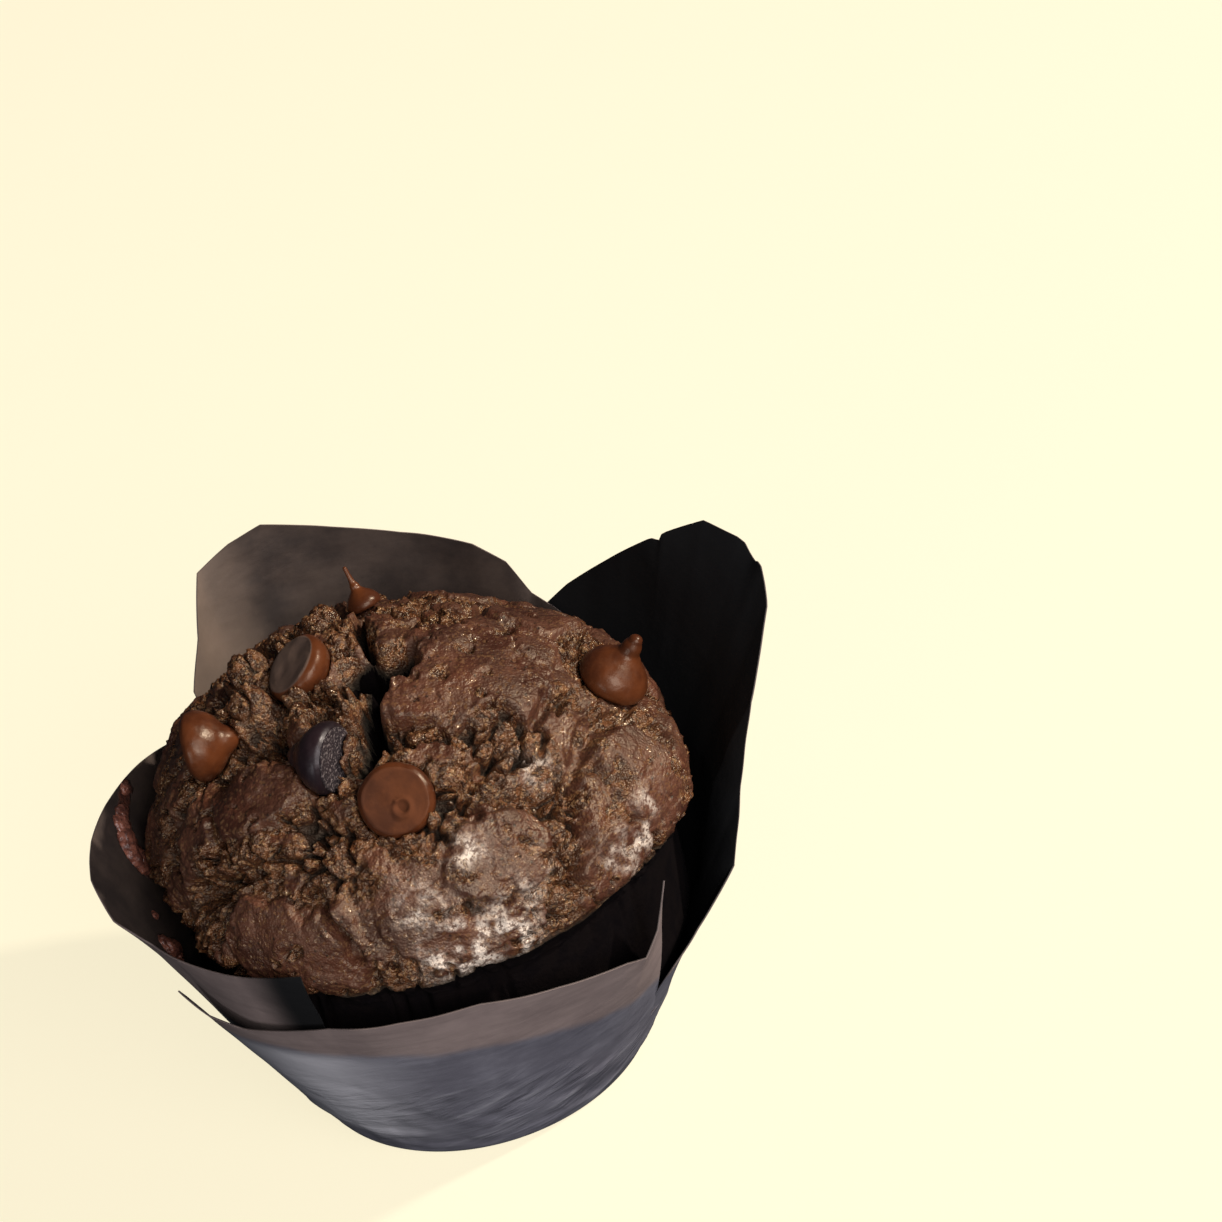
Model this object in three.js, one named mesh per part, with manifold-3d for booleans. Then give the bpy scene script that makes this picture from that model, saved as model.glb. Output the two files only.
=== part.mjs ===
// A chocolate muffin with chocolate chips, in its dark brown tulip paper case.
// Millimetres, +Z up. The origin is the centre of the flat underside, azimuth 0 is +X and
// azimuth 90 is +Y, and a polar angle on the crown is 0 at its top and 90 at its edge.
import * as THREE from 'three';
import { mergeVertices } from 'three/addons/utils/BufferGeometryUtils.js';
import Module from 'manifold-3d';

const wasm = await Module();
wasm.setup();

// The case and the cake in it
const BASE_RADIUS = 26;
const CONE_SLOPE = 0.385;
const CONE_BULGE = 1.2;
const CONE_HEIGHT = 38;
const SWELL = 1.6;
const SWELL_AZIMUTH = -15;
const CUP_HEIGHT = 15;
const PAPER = 0.5;
const GAP = 0.3;
const CUP_SIDES = 56;

// The crown, and the neck below it where it leaves the paper
const CROWN_RADIUS = 39.4;
const CROWN_EDGE = 38;
const CROWN_RISE = 34;
const NECK_INSET = 3.4;
const NECK_POLAR = [79, 90];
const CAKE_DETAIL = 16;
// The ball that the cake is shaped from: polar angles where its crown ends and where its wall ends.
const CROWN_PART = 105;
const WALL_PART = 152;

// The chocolate chips
const CHIP_RADIUS = 5.2;
const CHIP_HEIGHT = 8.6;
const CHIP_SIDES = 12;
// The outline of a chip, as shares of its radius and height, from the flat end to the tip.
const CHIP_OUTLINE = [
  [0.86, 0], [0.98, 0.08], [1, 0.2], [0.9, 0.36], [0.68, 0.52], [0.45, 0.64], [0.31, 0.74],
  [0.27, 0.87], [0.2, 0.96],
];
// The same from its seventh row on, for a chip whose tip has melted away.
const BLUNT_END = [[0.33, 0.74], [0.2, 0.82], [0.07, 0.86]];
const STRAND_RADII = [0.35, 0.3];

const radians = THREE.MathUtils.degToRad;
const smoothstep = THREE.MathUtils.smoothstep;
const lerp = THREE.MathUtils.lerp;

// Flaps of the case. Each is a stretch of the paper that rises from the cup to its own free edge.
// foot: azimuths of its two lower corners. rim: [azimuth, radius, height] along its free edge.
const FLAPS = {
  front: {
    foot: [196, 318],
    rim: [
      [205, 43, 38], [212, 42, 35.6], [220, 40.8, 34.5], [241, 40.6, 37.5], [255, 41, 38],
      [271, 40.9, 37.5], [286, 41.7, 36], [300, 43, 34], [305, 42.5, 32], [310, 42, 34], [315, 42, 40],
    ],
  },
  left: {
    foot: [124, 232],
    rim: [
      [133, 44.5, 46.5], [141, 44.5, 48], [153, 44.5, 50], [163, 45, 51], [174, 46, 51], [184, 46.6, 50],
      [192, 45.8, 46.5], [200, 43.3, 44.4], [213, 42.2, 44.6], [227, 41.6, 45.6], [239, 41.2, 46.8],
    ],
  },
  back: {
    foot: [142, 40],
    rim: [
      [128, 44.5, 52], [122, 46, 58.5], [116, 49, 66.5], [109, 48, 69], [102.5, 46.5, 70.5],
      [90, 45, 67], [77, 45, 63], [63, 44.5, 60], [57, 45, 56.5], [53, 45, 51], [42, 43.5, 46],
    ],
  },
  right: {
    foot: [-46, 68],
    rim: [
      [-43, 34.6, 16], [-41, 38, 21], [-33, 40, 24], [-22, 44.5, 29], [-17, 47.2, 40], [-12, 50.7, 51],
      [-3, 56, 61], [1, 56.7, 65], [6, 56.3, 67], [14, 53.5, 68], [22, 49.5, 64.5],
      [32, 47.3, 59.5], [46, 46, 52], [52, 45, 48], [64, 43, 44],
    ],
  },
};
const FLAP_ROWS = 6;
const FLAP_FOOT_HEIGHT = 11;
const FLAP_STEP = 8;
const FLARE_POWER = 2;
const LEAN_POWER = 5;

// Relief of the crown. Plates of smooth crust: [azimuth, polar, half width, half length, rise].
const PLATES = [
  [330, 25, 12, 11, 1.5], [296, 17, 7, 8, 1.4], [215, 42, 7.5, 5.5, 1.4], [204, 57, 4.5, 4, 1.2],
  [230, 71, 7, 6.5, 1.6], [246, 74, 5.5, 7, 1.7], [284, 60, 8, 6, 1.8], [266, 69, 6, 5, 1.3],
  [276, 78, 9, 4, 1.2], [326, 67, 6, 9, 1.8], [309, 77, 6.5, 5, 1.5], [342, 76, 5.5, 6, 1.4],
  [20, 40, 8, 7, 1.5], [12, 66, 8, 7, 1.6], [38, 62, 8, 7, 1.4], [62, 52, 9, 7, 1.6],
  [66, 76, 8, 6, 1.4], [92, 62, 8, 8, 1.6], [118, 54, 7, 7, 1.4], [120, 76, 9, 6, 1.6],
  [148, 62, 8, 7, 1.6], [160, 78, 8, 5, 1.3],
];
// Cracks between them: the half width, the depth, and a line of [azimuth, polar].
const CRACKS = [
  [1.9, 5, [[84, 19], [95, 8], [275, 4]]],
  [3.0, 6, [[240, 8], [300, 8.5]]],
  [2.0, 5.5, [[285, 9], [266, 17], [260, 27], [256, 33]]],
  [1.3, 1.9, [[272, 52], [280, 49], [288, 44], [322, 42]]],
  [1.5, 2.4, [[297, 73], [305, 63], [313, 56], [322, 52], [337, 56]]],
  [1.7, 2.6, [[204, 69], [213, 64], [226, 55]]],
  [1.2, 2.2, [[242, 60], [249, 70], [253, 78], [254, 92]]],
  [1.4, 2.4, [[190, 50], [187, 60], [197, 67]]],
  [1.3, 2.2, [[228, 22], [212, 29], [193, 34]]],
  [1.5, 2.2, [[30, 28], [40, 44], [26, 56]]],
  [1.5, 2.2, [[76, 42], [78, 60], [90, 80]]],
  [1.5, 2.2, [[106, 40], [132, 52], [138, 72]]],
];
// Lumps of crumb and hollows: [azimuth, polar, radius, rise], where a hollow has a rise below 0.
const LUMPS = [
  [185, 28, 3.4, 2.2], [244, 18, 2.7, 2.4], [221, 23, 3.4, 1.8], [264, 25, 3, 0.8], [150, 31, 3.2, 1.6],
  [132, 27, 3, 1.4], [112, 24, 3, 1.6], [95, 30, 3, 1.2], [40, 26, 3, 1], [10, 46, 3.4, 1.2],
  [207, 68, 3.2, -4], [333, 84, 2, -2.2], [243, 44, 3, -1.2], [200, 78, 3.4, -2], [300, 55, 3, -1.6],
  [48, 36, 15, -2.4], [190, 76, 12, -1.6], [176, 42, 5, -1.5], [338, 76, 10, 1.4],
  [196, 40, 3.8, -4.2],
];
// Rough crumb: [size of a lump, rise]. On a plate it is calmer.
const NOISE = [[7.5, 1.1], [3.6, 0.9]];
const NOISE_SEED = 17;
const PLATE_CALM = 0.7;
// A plate's outline wanders by a share of its size; it is level to the first share and ends at the second.
const PLATE_WANDER = [4, 0.16];
const PLATE_EDGE = [0.82, 1.1];
const CRACK_WANDER = [3, 0.3];
const CRACK_EDGE = [0.2, 1.5];
const CRACK_LEVELS_PLATE = 6;
// Polar angles over which the relief is held to EDGE_RISE, so that the crown clears the paper.
const EDGE_CALM = [68, 80];
const EDGE_RISE = 0.6;
const EDGE_FADE = 8;

// Chips: the middle of the flat end, and the way from it to the tip.
const CHIPS = {
  chip_front: { at: [-2.3, -27.5, 64.3], tip: [0.14, 0.8, -0.58] },
  chip_dark: { at: [-8.2, -19.1, 67.9], tip: [-0.821, 0.57, 0.032], scale: 0.98, blunt: true },
  chip_crest: { at: [-10.9, 1.0, 72.2], tip: [0.58, 0.08, -0.81] },
  chip_left: { at: [-27.6, -2.4, 65.7], tip: [0.983, -0.177, 0.052], scale: 0.97, blunt: true },
  chip_right: { at: [31, -6.5, 58.3], tip: [0.62, -0.14, 0.78] },
  chip_melted: { at: [1.6, 14.4, 69.4], tip: [-0.2, 0.35, 0.9], scale: 0.5, strand: 2.2 },
};

// How far the paper bulges out of its cone, which is more on one side.
function paperBulge(z, azimuth) {
  if (z > CONE_HEIGHT) {
    return 0;
  }
  const side = Math.max(0, Math.cos(radians(azimuth - SWELL_AZIMUTH))) ** 3;
  return (CONE_BULGE + SWELL * side) * Math.sin(Math.PI * z / CONE_HEIGHT);
}

// The radius of the middle of the paper.
function conePaper(z, azimuth) {
  return BASE_RADIUS - PAPER / 2 + CONE_SLOPE * z + paperBulge(z, azimuth);
}

// Turns a geometry into a solid.
function solid(geometry) {
  let bare = geometry.clone();
  bare.deleteAttribute('normal');
  bare.deleteAttribute('uv');
  bare = mergeVertices(bare, 1e-4);
  return new wasm.Manifold(new wasm.Mesh({
    numProp: 3,
    vertProperties: new Float32Array(bare.attributes.position.array),
    triVerts: new Uint32Array(bare.index.array),
  }));
}

// Turns a solid back into a geometry.
function geometryOf(body) {
  const mesh = body.getMesh();
  const geometry = new THREE.BufferGeometry();
  geometry.setAttribute('position', new THREE.BufferAttribute(mesh.vertProperties, 3));
  geometry.setIndex(new THREE.BufferAttribute(mesh.triVerts, 1));
  geometry.computeVertexNormals();
  return geometry;
}

// A fixed pseudo-random value from 0 to 1 for a corner of the noise lattice.
function hash(x, y, z) {
  const s = Math.sin(x * 127.1 + y * 311.7 + z * 74.7 + NOISE_SEED * 13.3) * 43758.5453;
  return s - Math.floor(s);
}

// Smooth noise from -1 to 1.
function noise(x, y, z) {
  const cell = [Math.floor(x), Math.floor(y), Math.floor(z)];
  const f = [x - cell[0], y - cell[1], z - cell[2]].map((t) => t * t * (3 - 2 * t));
  let sum = 0;
  for (let i = 0; i < 8; i++) {
    const step = [i & 1, (i >> 1) & 1, (i >> 2) & 1];
    const weight = step.reduce((w, s, k) => w * (s ? f[k] : 1 - f[k]), 1);
    sum += weight * hash(cell[0] + step[0], cell[1] + step[1], cell[2] + step[2]);
  }
  return 2 * sum - 1;
}

// A point of the plain crown, before its relief.
function crownPoint(azimuth, polar) {
  const a = radians(azimuth);
  const p = radians(polar);
  const r = CROWN_RADIUS * Math.sin(p);
  return new THREE.Vector3(r * Math.cos(a), r * Math.sin(a), CROWN_EDGE + CROWN_RISE * Math.cos(p));
}

// The way out of the crown at one of its points.
function crownNormal(point) {
  const flat = CROWN_RADIUS * CROWN_RADIUS;
  const tall = CROWN_RISE * CROWN_RISE;
  return new THREE.Vector3(point.x / flat, point.y / flat, (point.z - CROWN_EDGE) / tall).normalize();
}

// A plate is level inside and falls off at its outline, which wanders a little.
function plateRise(point, [azimuth, polar, width, length, rise]) {
  const a = radians(azimuth);
  const offset = point.clone().sub(crownPoint(azimuth, polar));
  const across = -offset.x * Math.sin(a) + offset.y * Math.cos(a);
  const along = Math.sqrt(Math.max(0, offset.lengthSq() - across * across));
  const [cell, share] = PLATE_WANDER;
  const wander = 1 + share * noise(point.x / cell, point.y / cell, point.z / cell + azimuth);
  const reach = Math.hypot(across / width, along / length) / wander;
  return rise * (1 - smoothstep(reach, PLATE_EDGE[0], PLATE_EDGE[1]));
}

// A crack is deepest along its line.
function crackRise(point, [halfWidth, depth, line]) {
  const ends = line.map(([azimuth, polar]) => crownPoint(azimuth, polar));
  const near = new THREE.Vector3();
  let nearest = Infinity;
  for (let i = 1; i < ends.length; i++) {
    new THREE.Line3(ends[i - 1], ends[i]).closestPointToPoint(point, true, near);
    nearest = Math.min(nearest, near.distanceTo(point));
  }
  const [cell, share] = CRACK_WANDER;
  const wander = 1 + share * noise(point.x / cell, point.y / cell, point.z / cell);
  const [full, end] = CRACK_EDGE;
  return -depth * (1 - smoothstep(nearest, full * halfWidth, end * halfWidth * wander));
}

function lumpRise(point, [azimuth, polar, radius, rise]) {
  const away = crownPoint(azimuth, polar).distanceTo(point) / radius;
  return rise * Math.exp(-away * away);
}

// How far the crown stands out at a point, with the plates, cracks, lumps and the rough crumb.
function crownRelief(point, polar) {
  const plate = Math.max(...PLATES.map((p) => plateRise(point, p)));
  const crack = Math.min(...CRACKS.map((c) => crackRise(point, c)));
  const lump = LUMPS.reduce((sum, l) => sum + lumpRise(point, l), 0);
  const rough = NOISE.reduce((sum, [cell, rise]) => (
    sum + rise * noise(point.x / cell, point.y / cell, point.z / cell)), 0);
  const calm = 1 - PLATE_CALM * Math.min(1, plate);
  const relief = plate * (1 + crack / CRACK_LEVELS_PLATE) + crack + lump + rough * calm;
  const edge = smoothstep(polar, EDGE_CALM[0], EDGE_CALM[1]);
  const neck = NECK_INSET * smoothstep(polar, NECK_POLAR[0], NECK_POLAR[1]);
  return lerp(relief, Math.min(relief, EDGE_RISE), edge) - neck;
}

// The cake: a ball of even triangles whose upper part becomes the crown and whose lower part
// becomes the wall and the base inside the case.
function cakeBody() {
  const floor = PAPER + GAP;
  const neckRadius = CROWN_RADIUS - NECK_INSET;
  const wallRadius = (z, azimuth) => Math.min(neckRadius, conePaper(z, azimuth) - PAPER / 2 - GAP);
  const geometry = new THREE.IcosahedronGeometry(1, CAKE_DETAIL);
  const place = geometry.attributes.position;
  for (let i = 0; i < place.count; i++) {
    const from = new THREE.Vector3().fromBufferAttribute(place, i).normalize();
    const down = THREE.MathUtils.radToDeg(Math.acos(THREE.MathUtils.clamp(from.z, -1, 1)));
    const azimuth = Math.round(THREE.MathUtils.radToDeg(Math.atan2(from.y, from.x)) * 1e3) / 1e3;
    let point;
    if (down < CROWN_PART) {
      const polar = 90 * down / CROWN_PART;
      point = crownPoint(azimuth, polar);
      point.addScaledVector(crownNormal(point), crownRelief(point, polar));
    } else {
      const wall = Math.min(1, (down - CROWN_PART) / (WALL_PART - CROWN_PART));
      const inward = Math.min(1, (180 - down) / (180 - WALL_PART));
      const z = lerp(CROWN_EDGE, floor, wall);
      const edgeRelief = crownRelief(crownPoint(azimuth, 90), 90) + NECK_INSET;
      const r = (wallRadius(z, azimuth) + Math.min(edgeRelief, 0) * Math.exp(-wall * EDGE_FADE)) * inward;
      point = new THREE.Vector3(r * Math.cos(radians(azimuth)), r * Math.sin(radians(azimuth)), z);
    }
    place.setXYZ(i, point.x, point.y, point.z);
  }
  return solid(geometry);
}

// A chip is a drop with a flat end, turned about Z with its flat end at z 0; a melted one is
// smaller and ends in a thin strand. grow makes it larger all round, for the pocket in the crumb.
function chipGeometry({ scale = 1, strand = 0, blunt = false }, grow) {
  const outline = blunt ? CHIP_OUTLINE.slice(0, 6).concat(BLUNT_END) : CHIP_OUTLINE;
  const points = outline.map(([r, h]) => new THREE.Vector2(
    CHIP_RADIUS * scale * r + grow, CHIP_HEIGHT * scale * h));
  points[0].y -= grow;
  if (strand > 0) {
    points.push(new THREE.Vector2(STRAND_RADII[0] + grow, CHIP_HEIGHT * scale + 0.4 * strand));
    points.push(new THREE.Vector2(STRAND_RADII[1] + grow, CHIP_HEIGHT * scale + strand));
  }
  const top = points[points.length - 1].y + (strand > 0 ? 0.2 : 0.04 * CHIP_HEIGHT) + grow;
  points.unshift(new THREE.Vector2(0, -grow));
  points.push(new THREE.Vector2(0, top));
  return new THREE.LatheGeometry(points, CHIP_SIDES).rotateX(Math.PI / 2);
}

function chipPlace({ at, tip }) {
  const turn = new THREE.Quaternion().setFromUnitVectors(
    new THREE.Vector3(0, 0, 1), new THREE.Vector3(...tip).normalize());
  return new THREE.Matrix4().compose(new THREE.Vector3(...at), turn, new THREE.Vector3(1, 1, 1));
}

function chip(spec, grow = 0) {
  return chipGeometry(spec, grow).applyMatrix4(chipPlace(spec));
}

// The cup: the closed lower part of the case, with its flat base.
function cupBody() {
  const half = PAPER / 2;
  const plain = (z) => BASE_RADIUS - half + CONE_SLOPE * z;
  const points = [
    [0, 0], [BASE_RADIUS - 0.7, 0], [plain(0.6) + half, 0.6], [plain(6) + half, 6],
    [plain(CUP_HEIGHT) + half, CUP_HEIGHT], [plain(CUP_HEIGHT) - half, CUP_HEIGHT],
    [plain(6) - half, 6], [plain(PAPER) - half, PAPER], [0, PAPER],
  ].map(([r, z]) => new THREE.Vector2(r, z));
  const geometry = new THREE.LatheGeometry(points, CUP_SIDES).rotateX(Math.PI / 2);
  const place = geometry.attributes.position;
  for (let i = 0; i < place.count; i++) {
    const r = Math.hypot(place.getX(i), place.getY(i));
    if (r > 1) {
      const azimuth = THREE.MathUtils.radToDeg(Math.atan2(place.getY(i), place.getX(i)));
      const out = 1 + paperBulge(place.getZ(i), azimuth) / r;
      place.setXY(i, place.getX(i) * out, place.getY(i) * out);
    }
  }
  return solid(geometry);
}

// The columns of a flap: its rim with a column at least every FLAP_STEP degrees.
function rimColumns(rim) {
  const columns = [rim[0]];
  for (let i = 1; i < rim.length; i++) {
    const steps = Math.max(1, Math.ceil(Math.abs(rim[i][0] - rim[i - 1][0]) / FLAP_STEP));
    for (let k = 1; k <= steps; k++) {
      columns.push(rim[i].map((value, axis) => lerp(rim[i - 1][axis], value, k / steps)));
    }
  }
  return columns;
}

// A flap follows the cone of the cup, then flares out or leans in to reach its rim.
function flapPoint(spec, column, across, up) {
  const [azimuth, radius, height] = column;
  const z = lerp(FLAP_FOOT_HEIGHT, height, up);
  const turn = lerp(lerp(spec.foot[0], spec.foot[1], across), azimuth, smoothstep(up, 0, 0.8));
  const lean = radius - conePaper(height, turn);
  const r = conePaper(z, turn) + lean * up ** (lean > 0 ? FLARE_POWER : LEAN_POWER);
  const a = radians(turn);
  return new THREE.Vector3(r * Math.cos(a), r * Math.sin(a), z);
}

// A sheet of paper from a grid of points, PAPER thick, closed along its edges.
function sheetGeometry(grid) {
  const rows = grid.length;
  const columns = grid[0].length;
  const normalAt = (i, j) => {
    const acrossWay = grid[i][Math.min(j + 1, columns - 1)].clone().sub(grid[i][Math.max(j - 1, 0)]);
    const upWay = grid[Math.min(i + 1, rows - 1)][j].clone().sub(grid[Math.max(i - 1, 0)][j]);
    return acrossWay.cross(upWay).normalize();
  };
  const positions = [];
  for (const side of [1, -1]) {
    for (let i = 0; i < rows; i++) {
      for (let j = 0; j < columns; j++) {
        const inset = i === 0 ? 0.8 : 1;
        const p = grid[i][j].clone().addScaledVector(normalAt(i, j), side * inset * PAPER / 2);
        positions.push(p.x, p.y, p.z);
      }
    }
  }
  const index = [];
  const quad = (a, b, c, d) => index.push(a, b, c, a, c, d);
  const at = (side, i, j) => side * rows * columns + i * columns + j;
  for (let i = 0; i + 1 < rows; i++) {
    for (let j = 0; j + 1 < columns; j++) {
      quad(at(0, i, j), at(0, i, j + 1), at(0, i + 1, j + 1), at(0, i + 1, j));
      quad(at(1, i, j), at(1, i + 1, j), at(1, i + 1, j + 1), at(1, i, j + 1));
    }
    quad(at(0, i, 0), at(0, i + 1, 0), at(1, i + 1, 0), at(1, i, 0));
    quad(at(0, i + 1, columns - 1), at(0, i, columns - 1), at(1, i, columns - 1), at(1, i + 1, columns - 1));
  }
  for (let j = 0; j + 1 < columns; j++) {
    quad(at(0, 0, j + 1), at(0, 0, j), at(1, 0, j), at(1, 0, j + 1));
    quad(at(0, rows - 1, j), at(0, rows - 1, j + 1), at(1, rows - 1, j + 1), at(1, rows - 1, j));
  }
  const geometry = new THREE.BufferGeometry();
  geometry.setAttribute('position', new THREE.Float32BufferAttribute(positions, 3));
  geometry.setIndex(index);
  return geometry;
}

function flapBody(spec) {
  const columns = rimColumns(spec.rim);
  const turnsBack = spec.rim[0][0] > spec.rim[spec.rim.length - 1][0];
  const grid = [];
  for (let i = 0; i <= FLAP_ROWS; i++) {
    const row = columns.map((column, j) => (
      flapPoint(spec, column, j / (columns.length - 1), i / FLAP_ROWS)));
    grid.push(turnsBack ? row.reverse() : row);
  }
  return solid(sheetGeometry(grid));
}

function caseBody() {
  return Object.values(FLAPS).reduce((body, spec) => body.add(flapBody(spec)), cupBody());
}

function matter(colour, roughness) {
  return new THREE.MeshStandardMaterial({ color: colour, roughness, metalness: 0 });
}

function piece(name, geometry, material) {
  const mesh = new THREE.Mesh(geometry, material);
  mesh.name = name;
  return mesh;
}

const muffin = new THREE.Group();

const pockets = Object.values(CHIPS).map((spec) => solid(chip(spec, GAP)));
const cake = pockets.reduce((body, pocket) => body.subtract(pocket), cakeBody());
muffin.add(piece('cake', geometryOf(cake), matter('#4a3020', 0.6)));
muffin.add(piece('paper_case', geometryOf(caseBody()), matter('#3a2f2c', 0.75)));

for (const [name, spec] of Object.entries(CHIPS)) {
  const colour = name === 'chip_dark' ? '#2c1a1a' : '#7a4926';
  muffin.add(piece(name, chip(spec), matter(colour, 0.35)));
}

export default muffin;
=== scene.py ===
"""A chocolate muffin with chocolate chips in its dark brown tulip paper case.

Sizes are in millimetres, +Z up, and each mesh is made in metres. Azimuth 0 is +X and azimuth 90
is +Y. A polar angle on the crown is 0 at its top and 90 at its edge.
"""

import functools
import itertools

import bmesh
import bpy
import numpy as np
from mathutils import Matrix, Vector


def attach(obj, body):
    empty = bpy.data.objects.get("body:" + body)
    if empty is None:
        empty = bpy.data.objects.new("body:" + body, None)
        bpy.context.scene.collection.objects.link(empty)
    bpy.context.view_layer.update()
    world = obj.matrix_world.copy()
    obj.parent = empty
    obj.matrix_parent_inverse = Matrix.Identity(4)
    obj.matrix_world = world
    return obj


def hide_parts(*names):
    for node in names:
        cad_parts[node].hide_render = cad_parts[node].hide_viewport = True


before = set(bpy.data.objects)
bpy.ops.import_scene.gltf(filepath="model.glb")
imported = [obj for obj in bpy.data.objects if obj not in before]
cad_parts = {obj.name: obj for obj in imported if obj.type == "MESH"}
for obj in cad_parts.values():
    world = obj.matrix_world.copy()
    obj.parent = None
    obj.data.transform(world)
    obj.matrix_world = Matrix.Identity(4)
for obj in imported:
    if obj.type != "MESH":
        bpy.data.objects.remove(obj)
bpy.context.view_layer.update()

MM = 0.001

# The case and the cake in it
BASE_RADIUS = 26
CONE_SLOPE = 0.385
CONE_BULGE = 1.2
CONE_HEIGHT = 38
SWELL = 1.6
SWELL_AZIMUTH = -15
CONE_INSET = 0.25
CAKE_INSET = 0.55
CAKE_FLOOR = 0.8

# The crown, and the neck below it where it leaves the paper
CROWN_RADIUS = 39.4
CROWN_EDGE = 38
CROWN_RISE = 34
NECK_INSET = 3.4
NECK_POLAR = (79, 90)
CAKE_SUBDIVISIONS = 8
# Polar angles of the ball that the cake is shaped from, where its crown and its wall end.
CROWN_PART = 122
WALL_PART = 160

# Plates of smooth crust: (azimuth, polar, half width, half length, rise).
PLATES = [
    (330, 25, 12, 11, 1.5), (296, 17, 7, 8, 1.4), (215, 42, 7.5, 5.5, 1.4), (204, 57, 4.5, 4, 1.2),
    (230, 71, 7, 6.5, 1.6), (246, 74, 5.5, 7, 1.7), (284, 60, 8, 6, 1.8), (266, 69, 6, 5, 1.3),
    (276, 78, 9, 4, 1.2), (326, 67, 6, 9, 1.8), (309, 77, 6.5, 5, 1.5), (342, 76, 5.5, 6, 1.4),
    (20, 40, 8, 7, 1.5), (12, 66, 8, 7, 1.6), (38, 62, 8, 7, 1.4), (62, 52, 9, 7, 1.6),
    (66, 76, 8, 6, 1.4), (92, 62, 8, 8, 1.6), (118, 54, 7, 7, 1.4), (120, 76, 9, 6, 1.6),
    (148, 62, 8, 7, 1.6), (160, 78, 8, 5, 1.3),
]
# Cracks between them: (half width, depth, line of (azimuth, polar)).
CRACKS = [
    (1.5, 6.5, [(84, 19), (95, 8), (275, 4)]),
    (3.0, 8.5, [(240, 8), (300, 8.5)]),
    (1.8, 8, [(285, 9), (266, 17), (260, 27), (256, 33)]),
    (1.3, 1.9, [(272, 52), (280, 49), (288, 44), (322, 42)]),
    (1.5, 2.4, [(297, 73), (305, 63), (313, 56), (322, 52), (337, 56)]),
    (1.7, 2.6, [(204, 69), (213, 64), (226, 55)]),
    (1.2, 2.2, [(242, 60), (249, 70), (253, 78), (254, 92)]),
    (1.4, 2.4, [(190, 50), (187, 60), (197, 67)]),
    (1.3, 2.2, [(228, 22), (212, 29), (193, 34)]),
    (1.5, 2.2, [(30, 28), (40, 44), (26, 56)]),
    (1.5, 2.2, [(76, 42), (78, 60), (90, 80)]),
    (1.5, 2.2, [(106, 40), (132, 52), (138, 72)]),
]
# Lumps of crumb, and hollows with a rise below 0: (azimuth, polar, radius, rise).
LUMPS = [
    (185, 28, 3.2, 2.2), (244, 19, 2.6, 2.4), (221, 23, 3.4, 1.8), (264, 25, 3, 0.8), (150, 31, 3.2, 1.6),
    (132, 27, 3, 1.4), (112, 24, 3, 1.6), (95, 30, 3, 1.2), (40, 26, 3, 1), (10, 46, 3.4, 1.2),
    (207, 68, 3.2, -4), (333, 84, 2, -2.2), (243, 44, 3, -1.2), (200, 78, 3.4, -2), (300, 55, 3, -1.6),
    (48, 36, 15, -2.4), (190, 76, 12, -1.6), (176, 42, 5, -1.5), (338, 76, 10, 1.4), (196, 40, 3.8, -4.2),
]
NOISE = [(7.5, 1.1), (3.6, 0.9)]
NOISE_SEED = 17
PLATE_CALM = 0.7
PLATE_WANDER = (4, 0.16)
PLATE_EDGE = (0.86, 1.06)
CRACK_WANDER = (3, 0.3)
CRACK_EDGE = (0.4, 1.4)
CRACK_LEVELS_PLATE = 6
# A lump that rises this far is a boulder of crumb with a gap round it.
BOULDER_RISE = 1.45
MOAT = 3.2
MOAT_REACH = 1.4
MOAT_WIDTH = 0.3
# How much of a crack a boulder in it leaves out.
BOULDER_HOLDS = 0.85
# Places where the crown has broken open: (azimuth, polar, radius).
OPEN_CRUMB = [
    (196, 27, 9), (160, 30, 9), (236, 17, 6), (243, 50, 6), (212, 60, 5), (302, 40, 6), (272, 46, 6),
]
OPEN_EDGE = (0.75, 1.0)
# A bulge over the edge of the crown: (azimuth, polar, radius, rise).
BULGE = (334, 79, 9, 2.1)
# How shapes are made ragged: the size of the noise, how far it moves a point, and its seed.
PLATE_DRIFT = [(3.6, 1.1, 0.0), (1.3, 0.5, 0.0)]
CRACK_DRIFT = [(5.0, 1.5, 8.0), (1.8, 0.7, 6.0)]
LUMP_DRIFT = (2.6, 0.7, 3.0)
OPEN_DRIFT = (4.0, 1.5, 2.5)
# Patches of crust off the plates, and breaks in the plates: (size, seed, low, high) of the noise.
ISLANDS = (3.1, 31, 0.15, 0.32)
BREAKS = (2.1, 57, 0.3, 0.45)
ISLAND_CRUST = 0.9
ISLAND_RISE = 0.45
BREAK_DEPTH = 0.35
OPEN_SHARE = 0.85
CRUST_EDGE = (0.95, 1.08)
EDGE_CALM = (68, 80)
EDGE_RISE = 0.6
EDGE_FADE = 8

# The chocolate chips
CHIP_RADIUS = 5.2
CHIP_HEIGHT = 8.6
CHIP_SIDES = 72
CHIP_GAP = 0.3
# The outline of a chip from the flat end to the tip, as shares of its radius and height.
CHIP_OUTLINE = [
    (0.86, 0), (0.98, 0.08), (1, 0.2), (0.9, 0.36), (0.68, 0.52), (0.45, 0.64), (0.31, 0.74),
    (0.27, 0.87), (0.2, 0.96),
]
# The same from its seventh row on, for a chip whose tip has melted away.
BLUNT_END = [(0.33, 0.74), (0.2, 0.82), (0.07, 0.86)]
STRAND_RADII = (0.35, 0.3)
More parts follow.
